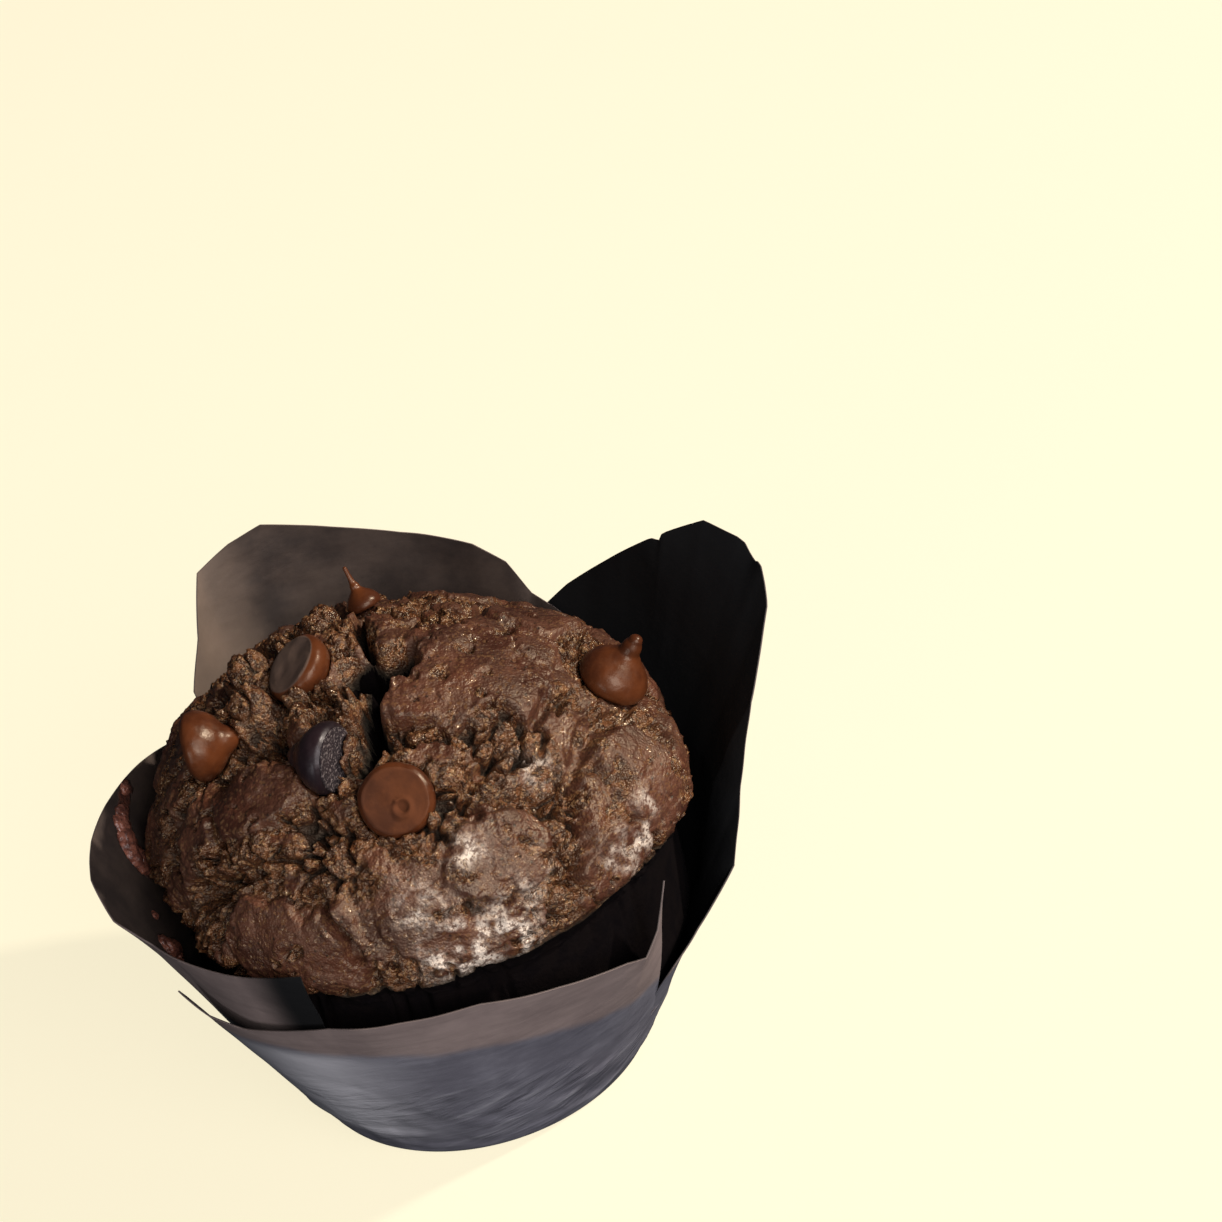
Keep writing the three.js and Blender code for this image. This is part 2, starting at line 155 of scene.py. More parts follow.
# Chips: the middle of the flat end and the way to the tip. The film and painted sheen, grainy and fold: how
# much of each the flat end has; the film is a greyish coat, partly bloom and partly a painted reflection,
# and grainy puts painted glint specks on it. clear: how far the crumb keeps from it. blunt: a melted tip.
# strand: the length of a strand drawn from the tip.
CHIPS = {
    "chip_front": {"at": (-2.3, -27.5, 64.3), "tip": (0.14, 0.8, -0.58), "fold": 1, "clear": 2.0},
    "chip_dark": {
        "at": (-8.2, -19.1, 67.9), "tip": (-0.821, 0.57, 0.032), "scale": 0.98, "blunt": True, "grainy": 1,
    },
    "chip_crest": {"at": (-10.9, 1.0, 72.2), "tip": (0.58, 0.08, -0.81), "film": 0.8, "clear": 2.5},
    "chip_left": {"at": (-27.6, -2.4, 65.7), "tip": (0.983, -0.177, 0.052), "blunt": True, "scale": 0.97},
    "chip_right": {"at": (31, -6.5, 58.3), "tip": (0.62, -0.14, 0.78)},
    "chip_melted": {"at": (1.6, 14.4, 69.4), "tip": (-0.2, 0.35, 0.9), "scale": 0.5, "strand": 2.2},
}

# Flaps of the case. foot: azimuths of the lower corners. rim: (azimuth, radius, height) along the free
# edge. tucked: azimuths where it lies inside its neighbour. torn: azimuths and depth of a torn edge.
FLAPS = {
    "front": {
        "foot": (196, 318),
        "rim": [
            (205, 43, 38), (212, 42, 35.6), (220, 40.8, 34.5), (241, 40.6, 37.5), (255, 41, 38),
            (271, 40.9, 37.5), (286, 41.7, 36), (300, 43, 34), (305, 42.5, 32), (310, 42, 34),
            (315, 42, 40),
        ],
    },
    "left": {
        "foot": (124, 232),
        "rim": [
            (133, 44.5, 46.5), (141, 44.5, 48), (153, 44.5, 50), (163, 45, 51), (174, 46, 51),
            (184, 46.6, 50), (192, 45.8, 46.5), (200, 43.3, 44.4), (213, 42.2, 44.6), (227, 41.6, 45.6),
            (239, 41.2, 46.8),
        ],
        "tucked": [(196, 250)],
    },
    "back": {
        "foot": (142, 40),
        "rim": [
            (128, 44.5, 52), (122, 46, 58.5), (116, 49, 66.5), (109, 48, 69), (102.5, 46.5, 70.5),
            (90, 45, 67), (77, 45, 63), (63, 44.5, 60), (57, 45, 56.5), (53, 45, 51), (42, 43.5, 46),
        ],
        "tucked": [(30, 68), (124, 150)],
    },
    "right": {
        "foot": (-46, 68),
        "rim": [
            (-43, 34.6, 16), (-41, 38, 21), (-33, 40, 24), (-22, 44.5, 29), (-17, 47.2, 40),
            (-12, 50.7, 51), (-3, 56, 61), (1, 56.7, 65), (6, 56.3, 67), (14, 53.5, 68),
            (22, 49.5, 64.5), (32, 47.3, 59.5), (46, 46, 52), (52, 45, 48), (64, 43, 44),
        ],
        "tucked": [(-50, -42)],
        "torn": (0, 22, 1.1),
    },
}
FLAP_FOOT_HEIGHT = 11
FLAP_STEP = 8
FLARE_POWER = 2
LEAN_POWER = 5
NICK_POWER = 16
PAPER = 0.24
TUCK = 0.34
TUCK_RAMP = 7
SHEET_STEP = 0.9
CUP_SIDES = 360
# How high the paper is soaked with fat, below which it is glossier and its colour darker and bluer, the
# colour being painted shade: the mean height, the swing, and the azimuth of the highest.
SOAKED = (20.5, 10.5, 222)
# Where a painted sheen makes it pale outside, standing in for a reflection of the bright floor: the azimuth,
# the width, and how pale it gets.
SHEEN_AT = 228
SHEEN_WIDTH = 16
SHEEN_PALENESS = 0.95
# It begins below the soaked edge and above the base.
SHEEN_SOAKED = (-0.5, 2)
SHEEN_BEGIN = (3, 9)
# Faces of the paper that meet at more than this have a sharp edge.
PAPER_CORNER = 50
CUP_FOLD = 0.35
# Azimuths between which painted shade darkens the left flap behind the front one, how dark the painted shade
# on the inside of a flap is, and azimuths between which painted light makes the inside of the back flap
# paler.
DARK_END = (223, 234)
DARK_INSIDE = {"right": 1.0, "front": 0.6}
PALE_AT = (104, 120)
PALE_END = 0.2
# The smear of crumb on the inside of the left flap: a line of (azimuth, height).
SMEAR = [(155, 49.4), (163, 47.4), (167, 44), (167.5, 40.5)]
SMEAR_WIDTH = 1.6
# Bits of crumb stuck there: (azimuth, height, radius, thickness).
CRUMBS = [
    (156, 49, 0.9, 0.7), (161.5, 48.2, 1.3, 0.8), (163.5, 47.2, 1.7, 0.9), (166, 45.2, 2.0, 1.2),
    (167, 43.6, 2.2, 1.3), (167.4, 42, 1.9, 1.2), (167.5, 40.6, 1.3, 0.9), (184.2, 36, 1.3, 1.0),
    (184, 34.6, 2.0, 1.3), (183.5, 33.2, 1.8, 1.2), (176.5, 37.6, 0.7, 0.5),
]


def radians(degrees):
    return np.radians(degrees)


def around(azimuth, radius, z):
    """Points from their azimuths, radii and heights."""
    a = radians(azimuth)
    return np.stack(np.broadcast_arrays(radius * np.cos(a), radius * np.sin(a), z), axis=-1)


def azimuths(points):
    """Azimuths of points, from -180 to 180."""
    return np.degrees(np.arctan2(points[:, 1], points[:, 0]))


def lerp(a, b, t):
    return a + (b - a) * t


def smoothstep(x, low, high):
    t = np.clip((x - low) / (high - low), 0, 1)
    return t * t * (3 - 2 * t)


def between(x, low, high, ramp):
    """1 from low to high, and fading out over a ramp on both sides."""
    return smoothstep(x, low - ramp, low) * (1 - smoothstep(x, high, high + ramp))


# Noise

def lattice(x, y, z):
    """A fixed pseudo-random value from 0 to 1 for a corner of the noise lattice."""
    s = np.sin(x * 127.1 + y * 311.7 + z * 74.7 + NOISE_SEED * 13.3) * 43758.5453
    return s - np.floor(s)


def noise(points):
    """Smooth noise from -1 to 1 at an array of points."""
    cell = np.floor(points)
    f = points - cell
    f = f * f * (3 - 2 * f)
    total = np.zeros(len(points))
    for step in itertools.product((0, 1), repeat=3):
        weight = np.ones(len(points))
        for axis in range(3):
            weight *= f[:, axis] if step[axis] else 1 - f[:, axis]
        total += weight * lattice(*(cell + step).T)
    return 2 * total - 1


def waves(points, kind, seed=0.0):
    """Noise of a size and a height."""
    size, height = kind
    return height * noise(points / size + seed)


def drift(points, size, amount, seed=0.0):
    """Points moved about by noise, so that what is made from them loses its regular shape."""
    moved = np.stack([noise(points / size + seed + shift) for shift in (3.7, 19.1, 41.3)], axis=1)
    return points + amount * moved


def patches(points, size, seed, low, high):
    """Patches of noise: 1 in a patch and 0 between them."""
    return smoothstep(noise(points / size + seed), low, high)


def pebbles(points, size, seed=0.0):
    """Cells: how near the two nearest seed points are, and the first one's own value."""
    scaled = points / size + seed
    base = np.floor(scaled)
    first = np.full(len(points), 9.0)
    second = np.full(len(points), 9.0)
    own = np.zeros(len(points))
    for step in itertools.product((-1, 0, 1), repeat=3):
        corner = base + step
        place = corner + np.stack([lattice(*(corner + shift).T) for shift in (0.5, 11.5, 23.5)], axis=1)
        gap = np.sqrt(((place - scaled) ** 2).sum(axis=1))
        nearer = gap < first
        second = np.where(nearer, first, np.minimum(second, gap))
        own = np.where(nearer, lattice(*(corner + 37.5).T), own)
        first = np.where(nearer, gap, first)
    return first, second, own


# The paper's cone

def plain_cone(z):
    """The radius of the middle of the paper, without its bulge."""
    return BASE_RADIUS - CONE_INSET + CONE_SLOPE * z


def cone_paper(z, azimuth):
    """The radius of the middle of the paper."""
    side = np.maximum(0, np.cos(radians(azimuth - SWELL_AZIMUTH))) ** 3
    bulge = (CONE_BULGE + SWELL * side) * np.sin(np.pi * np.minimum(z, CONE_HEIGHT) / CONE_HEIGHT)
    return plain_cone(z) + bulge


# The crown

def crown_point(azimuth, polar):
    """A point of the plain crown, before its relief."""
    p = radians(polar)
    return around(azimuth, CROWN_RADIUS * np.sin(p), CROWN_EDGE + CROWN_RISE * np.cos(p))


def crown_normal(points):
    """The way out of the crown at its points."""
    middle = np.array([0, 0, CROWN_EDGE])
    axes = np.array([CROWN_RADIUS, CROWN_RADIUS, CROWN_RISE]) ** 2
    n = (points - middle) / axes
    return n / np.linalg.norm(n, axis=1, keepdims=True)


def plate_reach(points, plate):
    """How far out on a plate a point is: 1 is the outline, which wanders a little."""
    azimuth, polar, width, length, _ = plate
    a = radians(azimuth)
    offset = points - crown_point(azimuth, polar)
    across = -offset[:, 0] * np.sin(a) + offset[:, 1] * np.cos(a)
    along = np.sqrt(np.maximum(0, (offset ** 2).sum(axis=1) - across ** 2))
    wander = 1 + waves(points, PLATE_WANDER, np.array([0, 0, azimuth]))
    return np.hypot(across / width, along / length) / wander


def line_distance(points, ends):
    """How far points are from a line through some ends."""
    away = []
    for start, end in zip(ends, ends[1:]):
        way = end - start
        t = np.clip((points - start) @ way / (way @ way), 0, 1)
        away.append(np.linalg.norm(points - start - t[:, None] * way, axis=1))
    return np.min(away, axis=0)


def crack_rise(points, crack):
    """A crack is deepest along its line."""
    half_width, depth, line = crack
    ends = [crown_point(azimuth, polar) for azimuth, polar in line]
    full, end = CRACK_EDGE
    end = end * (1 + waves(points, CRACK_WANDER))
    return -depth * (1 - smoothstep(line_distance(points, ends), full * half_width, end * half_width))


def reach(points, azimuth, polar, radius):
    """How far points are from a place on the crown, as a share of a radius."""
    return np.linalg.norm(points - crown_point(azimuth, polar), axis=1) / radius


def nearest(points, places):
    return np.min([reach(points, *place) for place in places], axis=0)


def soft_lump(points, lump):
    *place, rise = lump
    return rise * np.exp(-reach(points, *place) ** 2)


def lump_rise(points, lump):
    *place, rise = lump
    if rise < BOULDER_RISE:
        return soft_lump(points, lump)
    away = reach(points, *place)
    moat = MOAT * np.exp(-((away - MOAT_REACH) / MOAT_WIDTH) ** 2)
    return rise * np.exp(-away ** 4) - moat


def on_boulder(points):
    """How near a point is to the middle of a boulder of crumb: 1 is well on it."""
    boulders = [place for *place, rise in LUMPS if rise >= BOULDER_RISE]
    return np.exp(-nearest(drift(points, *LUMP_DRIFT), boulders) ** 4)


def open_crumb(points):
    """How much the crown has broken open at its points."""
    return 1 - smoothstep(nearest(drift(points, *OPEN_DRIFT), OPEN_CRUMB), *OPEN_EDGE)


def crown_relief(points, polar):
    """How far the crown stands out, how much of it is crust, and how deep the crack is."""
    ragged = strayed = points
    for stray in PLATE_DRIFT:
        ragged = drift(ragged, *stray)
    for stray in CRACK_DRIFT:
        strayed = drift(strayed, *stray)
    plate = np.zeros(len(points))
    crust = np.zeros(len(points))
    for spec in PLATES:
        out = plate_reach(ragged, spec)
        plate = np.maximum(plate, spec[4] * (1 - smoothstep(out, *PLATE_EDGE)))
        crust = np.maximum(crust, 1 - smoothstep(out, *CRUST_EDGE))
    island = patches(ragged, *ISLANDS)
    broken = patches(ragged, *BREAKS)
    opened = open_crumb(points)
    crust = np.maximum(crust * (1 - broken), ISLAND_CRUST * island) * (1 - OPEN_SHARE * opened)
    plate = np.maximum(plate - BREAK_DEPTH * broken, ISLAND_RISE * island)
    crack = np.min([crack_rise(strayed, c) for c in CRACKS], axis=0)
    moved = drift(points, *LUMP_DRIFT)
    lump = np.sum([lump_rise(moved, l) for l in LUMPS], axis=0)
    crack = crack * (1 - BOULDER_HOLDS * on_boulder(points))
    rough = np.sum([waves(points, kind) for kind in NOISE], axis=0)
    calm = 1 - PLATE_CALM * np.minimum(1, plate)
    relief = plate * (1 + crack / CRACK_LEVELS_PLATE) + crack + lump + rough * calm
    edge = smoothstep(polar, *EDGE_CALM)
    neck = NECK_INSET * smoothstep(polar, *NECK_POLAR)
    bulge = soft_lump(points, BULGE)
    return lerp(relief, np.minimum(relief, EDGE_RISE), edge) + bulge - neck, crust, crack


# Fine relief of the surface: (size, depth)
BOULDER = (4.2, 2.4)
CLUMP = (1.9, 0.5)
GRAIN = (0.95, 0.46)
SPECK = (0.52, 0.22)
CRUST_GRAIN = (0.75, 0.17)
FLAKE = (2.3, 0.25)
WRINKLE = (1.5, 0.1)
FINE_WRINKLE = (0.55, 0.06)
SWELLING = (4.2, 0.3)
UNEVEN = (1.7, 0.35)
CRUMB_SINK = 0.15
# How far the gap between two boulders of crumb reaches from their seam.
GAP_EDGE = (0.02, 0.2)
# Where the crumb is loose, with deeper gaps, and where pits gather in the crust, told the same way.
LOOSE = (9, 5, -0.3, 0.4)
GATHERED = (4.5, 4.5, -0.1, 0.4)
LOOSE_LEAST = 0.3
LOOSE_OPEN = 1.25
# Pits: (size, depth), seed, share of cells without one, and edge. In crust the share goes down by
# CRUST_GATHER where they gather.
PITS = ((2.7, 1.5), 2.5, 0.5, (0.08, 0.32))
SMALL_PITS = ((1.25, 0.6), 8.5, 0.6, (0.1, 0.36))
CRUST_PITS = ((1.25, 0.6), 1.5, 0.92, (0.1, 0.34))
CRUST_GATHER = 0.5
FLAKES = (7.5, 0.1, 0.3)


def grains(points, kind, width=0.75, seed=0.0):
    """Rounded bumps round the middles of cells, as wide as a share of the cell."""
    size, rise = kind
    near, _, _ = pebbles(points, size, seed)
    return rise * np.maximum(0, 1 - (near / width) ** 2)


def pits(points, kind, seed, chance, edge):
    """Pits in the cells whose own value is above a chance."""
    size, depth = kind
    near, _, own = pebbles(points, size, seed)
    return depth * (own > chance) * (1 - smoothstep(near, *edge))


def crumb_relief(points):
    """Open crumb: clumps with rounded grains on them, and gaps and pits between."""
    moved = drift(points, 1.8, 0.4)
    near, other, _ = pebbles(drift(points, 4.0, 1.0, 2.0), BOULDER[0], 3.5)
    loose = np.maximum(lerp(LOOSE_LEAST, 1, patches(points, *LOOSE)), LOOSE_OPEN * open_crumb(points))
    loose = loose * (1 - BOULDER_HOLDS * on_boulder(points))
    gap = BOULDER[1] * loose * (1 - smoothstep(other - near, *GAP_EDGE))
    hole = np.maximum(pits(moved, *PITS), pits(points, *SMALL_PITS))
    rise = grains(moved, CLUMP, 0.8) + grains(points, GRAIN, 0.75, 5.5) + grains(points, SPECK, 0.7, 9.5)
    return rise + waves(points, UNEVEN, 12) - CRUMB_SINK - hole - gap


def crust_relief(points):
    """Crust: soft dents and wrinkles, low flakes and groups of small pits."""
    moved = drift(points, 3.0, 0.9, 4.0)
    flake = FLAKE[1] * patches(moved, FLAKE[0], *FLAKES)
    gather = patches(points, *GATHERED)
    kind, seed, chance, edge = CRUST_PITS
    hole = pits(moved, kind, seed, chance - CRUST_GATHER * gather, edge)
    grainy = grains(drift(points, 1.2, 0.3, 5.0), CRUST_GRAIN, 0.75, 6.5) * lerp(0.4, 1, gather)
    wrinkle = waves(moved, WRINKLE) + waves(points, FINE_WRINKLE) + grainy
    return wrinkle + waves(points, SWELLING, 8) + flake - hole


# Meshes

def add_object(name, data):
    thing = bpy.data.objects.new(name, data)
    bpy.context.scene.collection.objects.link(thing)
    return thing


def add_mesh(name, points, faces):
    """A smooth mesh object from points in millimetres."""
    mesh = bpy.data.meshes.new(name)
    mesh.from_pydata([tuple(p) for p in np.asarray(points) * MM], [], faces)
    mesh.validate()
    mesh.shade_smooth()
    return add_object(name, mesh)


def lathe(rings, foot, top):
    """Points and faces of a closed mesh: rings of points between two points on the axis."""
    points = np.concatenate([[(0, 0, foot)], *rings, [(0, 0, top)]])
    last = len(points) - 1
    sides = len(rings[0])
    faces = []
    for k in range(sides):
        after = (k + 1) % sides
        faces.append((0, 1 + after, 1 + k))
        faces.append((last, last - sides + k, last - sides + after))
    for first in range(1, last - sides, sides):
        for k in range(sides):
            a = first + k
            b = first + (k + 1) % sides
            faces.append((a, b, b + sides, a + sides))
    return points, faces


def finish_piece(piece, slot, material, *nodes, **attributes):
    """Gives a piece its body, its material, and attributes with a value for each of its points."""
    for name, values in attributes.items():
        values = np.asarray(values, np.float32)
        kind, field = ("FLOAT_VECTOR", "vector") if values.ndim == 2 else ("FLOAT", "value")
        piece.data.attributes.new(name, kind, "POINT").data.foreach_set(field, values.ravel())
    piece.data.materials.append(material)
    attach(piece, "root")
    if nodes:
        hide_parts(*nodes)
    return piece


# Materials

class Nodes:
    """Makes the nodes of one material."""

    def __init__(self, name):
        self.material = bpy.data.materials.new(name)
        self.material.use_nodes = True
        self.tree = self.material.node_tree
        self.tree.nodes.clear()
        self.shader = self.make("BsdfPrincipled")
        self.make("OutputMaterial", Surface=self.shader.outputs["BSDF"])
        self.place = self.make("TexCoord").outputs["Object"]

    def make(self, kind, **inputs):
        """A node with its inputs linked to outputs or set to plain values."""
        node = self.tree.nodes.new("ShaderNode" + kind)
        self.fill(node, inputs)
        return node

    def fill(self, node, inputs):
        for name, value in inputs.items():
            self.put(value, node.inputs[name.replace("_", " ")])

    def put(self, value, socket):
        if isinstance(value, bpy.types.NodeSocket):
            self.tree.links.new(value, socket)
        else:
            socket.default_value = value

    def attribute(self, name, output="Fac"):
        node = self.make("Attribute")
        node.attribute_type = "GEOMETRY"
        node.attribute_name = name
        return node.outputs[output]

    def noise(self, size, detail=3.0, roughness=0.55, place=None, distortion=0.0):
        """Noise whose features are about size millimetres wide."""
        node = self.make("TexNoise", Scale=1 / (size * MM), Detail=detail, Roughness=roughness,
                         Distortion=distortion, Vector=place or self.place)
        return node.outputs["Fac"]

    def cells(self, size, output="Distance"):
        """Cells about size millimetres wide."""
        return self.make("TexVoronoi", Scale=1 / (size * MM), Vector=self.place).outputs[output]

    def chance(self, size):
        """A random number for each cell."""
        return self.make("SeparateColor", Color=self.cells(size, "Color")).outputs["Red"]

    def math(self, operation, a, b):
        node = self.make("Math")
        node.operation = operation
        self.put(a, node.inputs[0])
        self.put(b, node.inputs[1])
        return node.outputs[0]

    def times(self, a, b):
        return self.math("MULTIPLY", a, b)

    def range(self, value, low, high, to_low=0.0, to_high=1.0):
        node = self.make("MapRange", Value=value, From_Min=low, From_Max=high, To_Min=to_low, To_Max=to_high)
        node.interpolation_type = "SMOOTHSTEP"
        return node.outputs["Result"]

    def mix(self, share, a, b):
        """A blend of two colours."""
        node = self.make("Mix", Factor=share)
        node.data_type = "RGBA"
        for socket, colour in (("A", a), ("B", b)):
            target = [s for s in node.inputs if s.name == socket and s.type == "RGBA"][0]
            self.put(colour if isinstance(colour, bpy.types.NodeSocket) else (*colour, 1), target)
        return [s for s in node.outputs if s.type == "RGBA"][0]

    def blend(self, share, a, b):
        """A blend of two numbers."""
        return self.math("ADD", self.times(self.math("SUBTRACT", 1.0, share), a), self.times(share, b))

    def stretched(self, source, scale):
        return self.make("Mapping", Scale=scale, Vector=source).outputs["Vector"]

    def slanted(self, source, turn, stretch):
        """Coordinates in which what lies along a slanting line is stretched."""
        node = self.make("Mapping", Rotation=(0, 0, radians(turn)), Scale=(stretch, 1, 1), Vector=source)
        node.vector_type = "TEXTURE"
        return node.outputs["Vector"]

    def bump(self, height, depth, normal=None, strength=1.0):
        """A bump of the given depth in millimetres."""
        node = self.make("Bump", Distance=depth * MM, Strength=strength, Height=height)
        if normal is not None:
            self.put(normal, node.inputs["Normal"])
        return node.outputs["Normal"]

    def finish(self, colour, rough, specular, normal, **more):
        """Fills the shader's inputs and returns the finished material."""
        more.update(Base_Color=colour, Roughness=rough, Specular_IOR_Level=specular, Normal=normal)
        self.fill(self.shader, more)
        return self.material


def srgb(r, g, b):
    """A linear colour from the 0 to 255 values that a picture shows."""
    c = np.array([r, g, b]) / 255
    return tuple(np.where(c <= 0.04045, c / 12.92, ((c + 0.055) / 1.055) ** 2.4))


def crumb_material():
    n = Nodes("baked_crumb")
    crust = n.attribute("crust")
    depth = n.attribute("height")
    oily = n.attribute("oily")
    shade = n.attribute("shade")
    broad = n.noise(9, 3)
    fine = n.noise(1.1, 4, 0.6)
    own = n.chance(0.75)
    glossy_and_painted_glint_specks = n.range(n.chance(0.38), 0.82, 0.88)
    crumb = n.mix(n.range(own, 0.2, 0.9), srgb(56, 30, 18), srgb(106, 65, 38))
    crumb = n.mix(n.range(fine, 0.4, 0.7, 0.0, 0.5), crumb, srgb(70, 39, 24))
    baked = n.mix(n.range(broad, 0.38, 0.62), srgb(64, 33, 23), srgb(88, 50, 35))
    baked = n.mix(n.range(fine, 0.45, 0.75, 0.0, 0.6), baked, srgb(50, 25, 17))
    # Painted shade: small dark pores stand in for the shade in pits of the crust.
    painted_pit_shade = n.times(n.range(n.cells(1.2), 0.26, 0.1), 0.8)
    painted_pit_shade = n.times(painted_pit_shade, n.range(n.chance(1.2), 0.35, 0.5))
    baked = n.mix(painted_pit_shade, baked, srgb(24, 12, 9))
    colour = n.mix(crust, crumb, baked)
    # Painted highlight: golden glint specks lighten the colour where the roughness is also lowest.
    painted_golden_glints = n.times(glossy_and_painted_glint_specks, n.blend(crust, 0.5, 0.22))
    colour = n.mix(painted_golden_glints, colour, srgb(160, 122, 84))
    # Painted reflection: a whitish sheen mixed into the colour where the crust shines with fat.
    film = n.times(oily, n.range(n.noise(0.6, 3, 0.65), 0.4, 0.58, 0.15, 1.0))
    colour = n.mix(film, colour, srgb(222, 202, 184))
    # Painted shade: darker in gaps and cracks, and near-black where they are deepest.
    gap = n.range(depth, -0.7, -1.8)
    colour = n.mix(gap, colour, srgb(46, 27, 18))
    colour = n.mix(n.range(depth, -1.9, -3.2), colour, srgb(13, 7, 6))
    # Painted shade: near-black under the crown's edge and deep in cracks.
    colour = n.mix(shade, colour, srgb(8, 4, 4))
    glossy = n.range(n.noise(5, 2), 0.45, 0.65)
    rough = n.blend(crust, n.blend(glossy, 0.32, 0.2), n.blend(glossy, 0.52, 0.36))
    rough = n.blend(glossy_and_painted_glint_specks, rough, 0.14)
    rough = n.blend(n.math("MINIMUM", oily, 1.0), rough, 0.26)
    rough = n.blend(gap, rough, 0.6)
    rough = n.blend(shade, rough, 0.95)
    grainy = n.blend(crust, 1.0, 0.45)
    height = n.math("ADD", n.times(n.cells(0.4), -1.0), n.noise(0.28, 3))
    normal = n.bump(n.times(height, grainy), 0.2)
    return n.finish(colour, rough, 0.7, normal, Specular_Tint=(1.0, 0.84, 0.62, 1.0))


def smear_material():
    """Crumb smeared thin on the paper and damp. It is paler than the cake, partly its own tone and partly
    painted light that stands in for the light the flap's shade keeps from it.
    """
    n = Nodes("smeared_crumb")
    colour = n.mix(n.range(n.noise(1.2, 4, 0.6), 0.4, 0.62), srgb(150, 92, 74), srgb(96, 56, 46))
    normal = n.bump(n.noise(0.7, 4, 0.6), 0.25)
    return n.finish(colour, 0.3, 0.7, normal)


def side_material():
    """The side of the cake in the case and the deepest cracks: painted shade, near-black and dull."""
    n = Nodes("painted_shade_side")
    colour = n.mix(n.range(n.noise(3, 4, 0.6), 0.4, 0.65), srgb(11, 6, 6), srgb(6, 3, 4))
    normal = n.bump(n.noise(0.8, 4, 0.6), 0.2)
    return n.finish(colour, 0.9, 0.06, normal)


# Painted streaks near the base, pale as glints and dark as shade along the creases: their slant, and how
# much longer than wide they are.
STREAK_TURN = 16
STREAK_STRETCH = 6


def paper_material():
    n = Nodes("baking_paper")
    flow = n.attribute("flow", "Vector")
    wobble = n.times(n.math("SUBTRACT", n.noise(11, 3), 0.5), 3.0)
    # Painted shade: below the soaked line the colour turns darker and bluer, while the paper also gets
    # glossier.
    greased_and_painted_shade = n.range(n.math("ADD", n.attribute("soaked"), wobble), -1.1, 0.8)
    fibre = n.noise(2.2, 5, 0.65, n.stretched(flow, (0.12, 1.6, 1.0)))
    cloud = n.noise(9, 4, 0.6)
    dry = n.mix(n.range(cloud, 0.35, 0.65), srgb(122, 106, 102), srgb(134, 117, 112))
    dry = n.mix(n.range(fibre, 0.4, 0.7, 0.0, 0.3), dry, srgb(102, 88, 84))
    wet_and_painted_shade = n.mix(n.range(cloud, 0.35, 0.65), srgb(98, 95, 103), srgb(114, 111, 119))
    wet_and_painted_shade = n.mix(n.range(fibre, 0.42, 0.7, 0.0, 0.4), wet_and_painted_shade, srgb(80, 78, 86))
    # Painted glints make pale streaks, and painted shade dark streaks, along the creases near the base.
    streak = n.noise(2.6, 4, 0.6, n.slanted(flow, STREAK_TURN, STREAK_STRETCH), 0.4)
    low = n.range(n.attribute("soaked"), 5.0, 15.0, 0.15, 1.0)
    creased = n.times(low, n.range(n.noise(13, 2), 0.38, 0.6, 0.2, 1.0))
    painted_pale = n.times(creased, n.range(streak, 0.52, 0.7, 0.0, 0.8))
    wet_and_painted_shade = n.mix(painted_pale, wet_and_painted_shade, srgb(156, 153, 158))
    wet_and_painted_shade = n.mix(n.times(creased, n.range(streak, 0.46, 0.32, 0.0, 0.6)), wet_and_painted_shade, srgb(62, 60, 66))
    colour = n.mix(greased_and_painted_shade, dry, wet_and_painted_shade)
    inner = n.mix(n.range(cloud, 0.3, 0.7), srgb(46, 36, 32), srgb(74, 60, 52))
    colour = n.mix(n.attribute("inner"), colour, inner)
    # Painted light: a pale sheen outside, standing in for a reflection of the floor, and a paler inside at
    # the back flap's left end.
    worn = n.mix(n.attribute("inner"), srgb(186, 182, 186), srgb(196, 168, 146))
    colour = n.mix(n.attribute("worn"), colour, worn)
    blotch = n.times(n.noise(1.6, 4, 0.6), 0.9)
    smear = n.range(n.math("ADD", n.attribute("smear"), blotch), 0.85, 1.1)
    crumb = n.mix(n.range(n.noise(0.9, 3), 0.4, 0.65), srgb(84, 44, 30), srgb(48, 25, 18))
    colour = n.mix(smear, colour, crumb)
    # Painted shade: near-black where the shade attribute is set.
    colour = n.mix(n.attribute("shade"), colour, srgb(6, 5, 6))
    rough = n.blend(greased_and_painted_shade, 0.72, 0.38)
    normal = n.bump(fibre, 0.05, strength=0.5)
    normal = n.bump(n.times(smear, n.noise(0.8, 3)), 0.5, normal)
    normal = n.bump(n.noise(6, 3, 0.5, n.stretched(flow, (0.5, 1.0, 1.0))), 0.5, normal, 0.7)
    normal = n.bump(n.times(creased, streak), 0.8, normal)
    return n.finish(colour, rough, 0.35, normal)


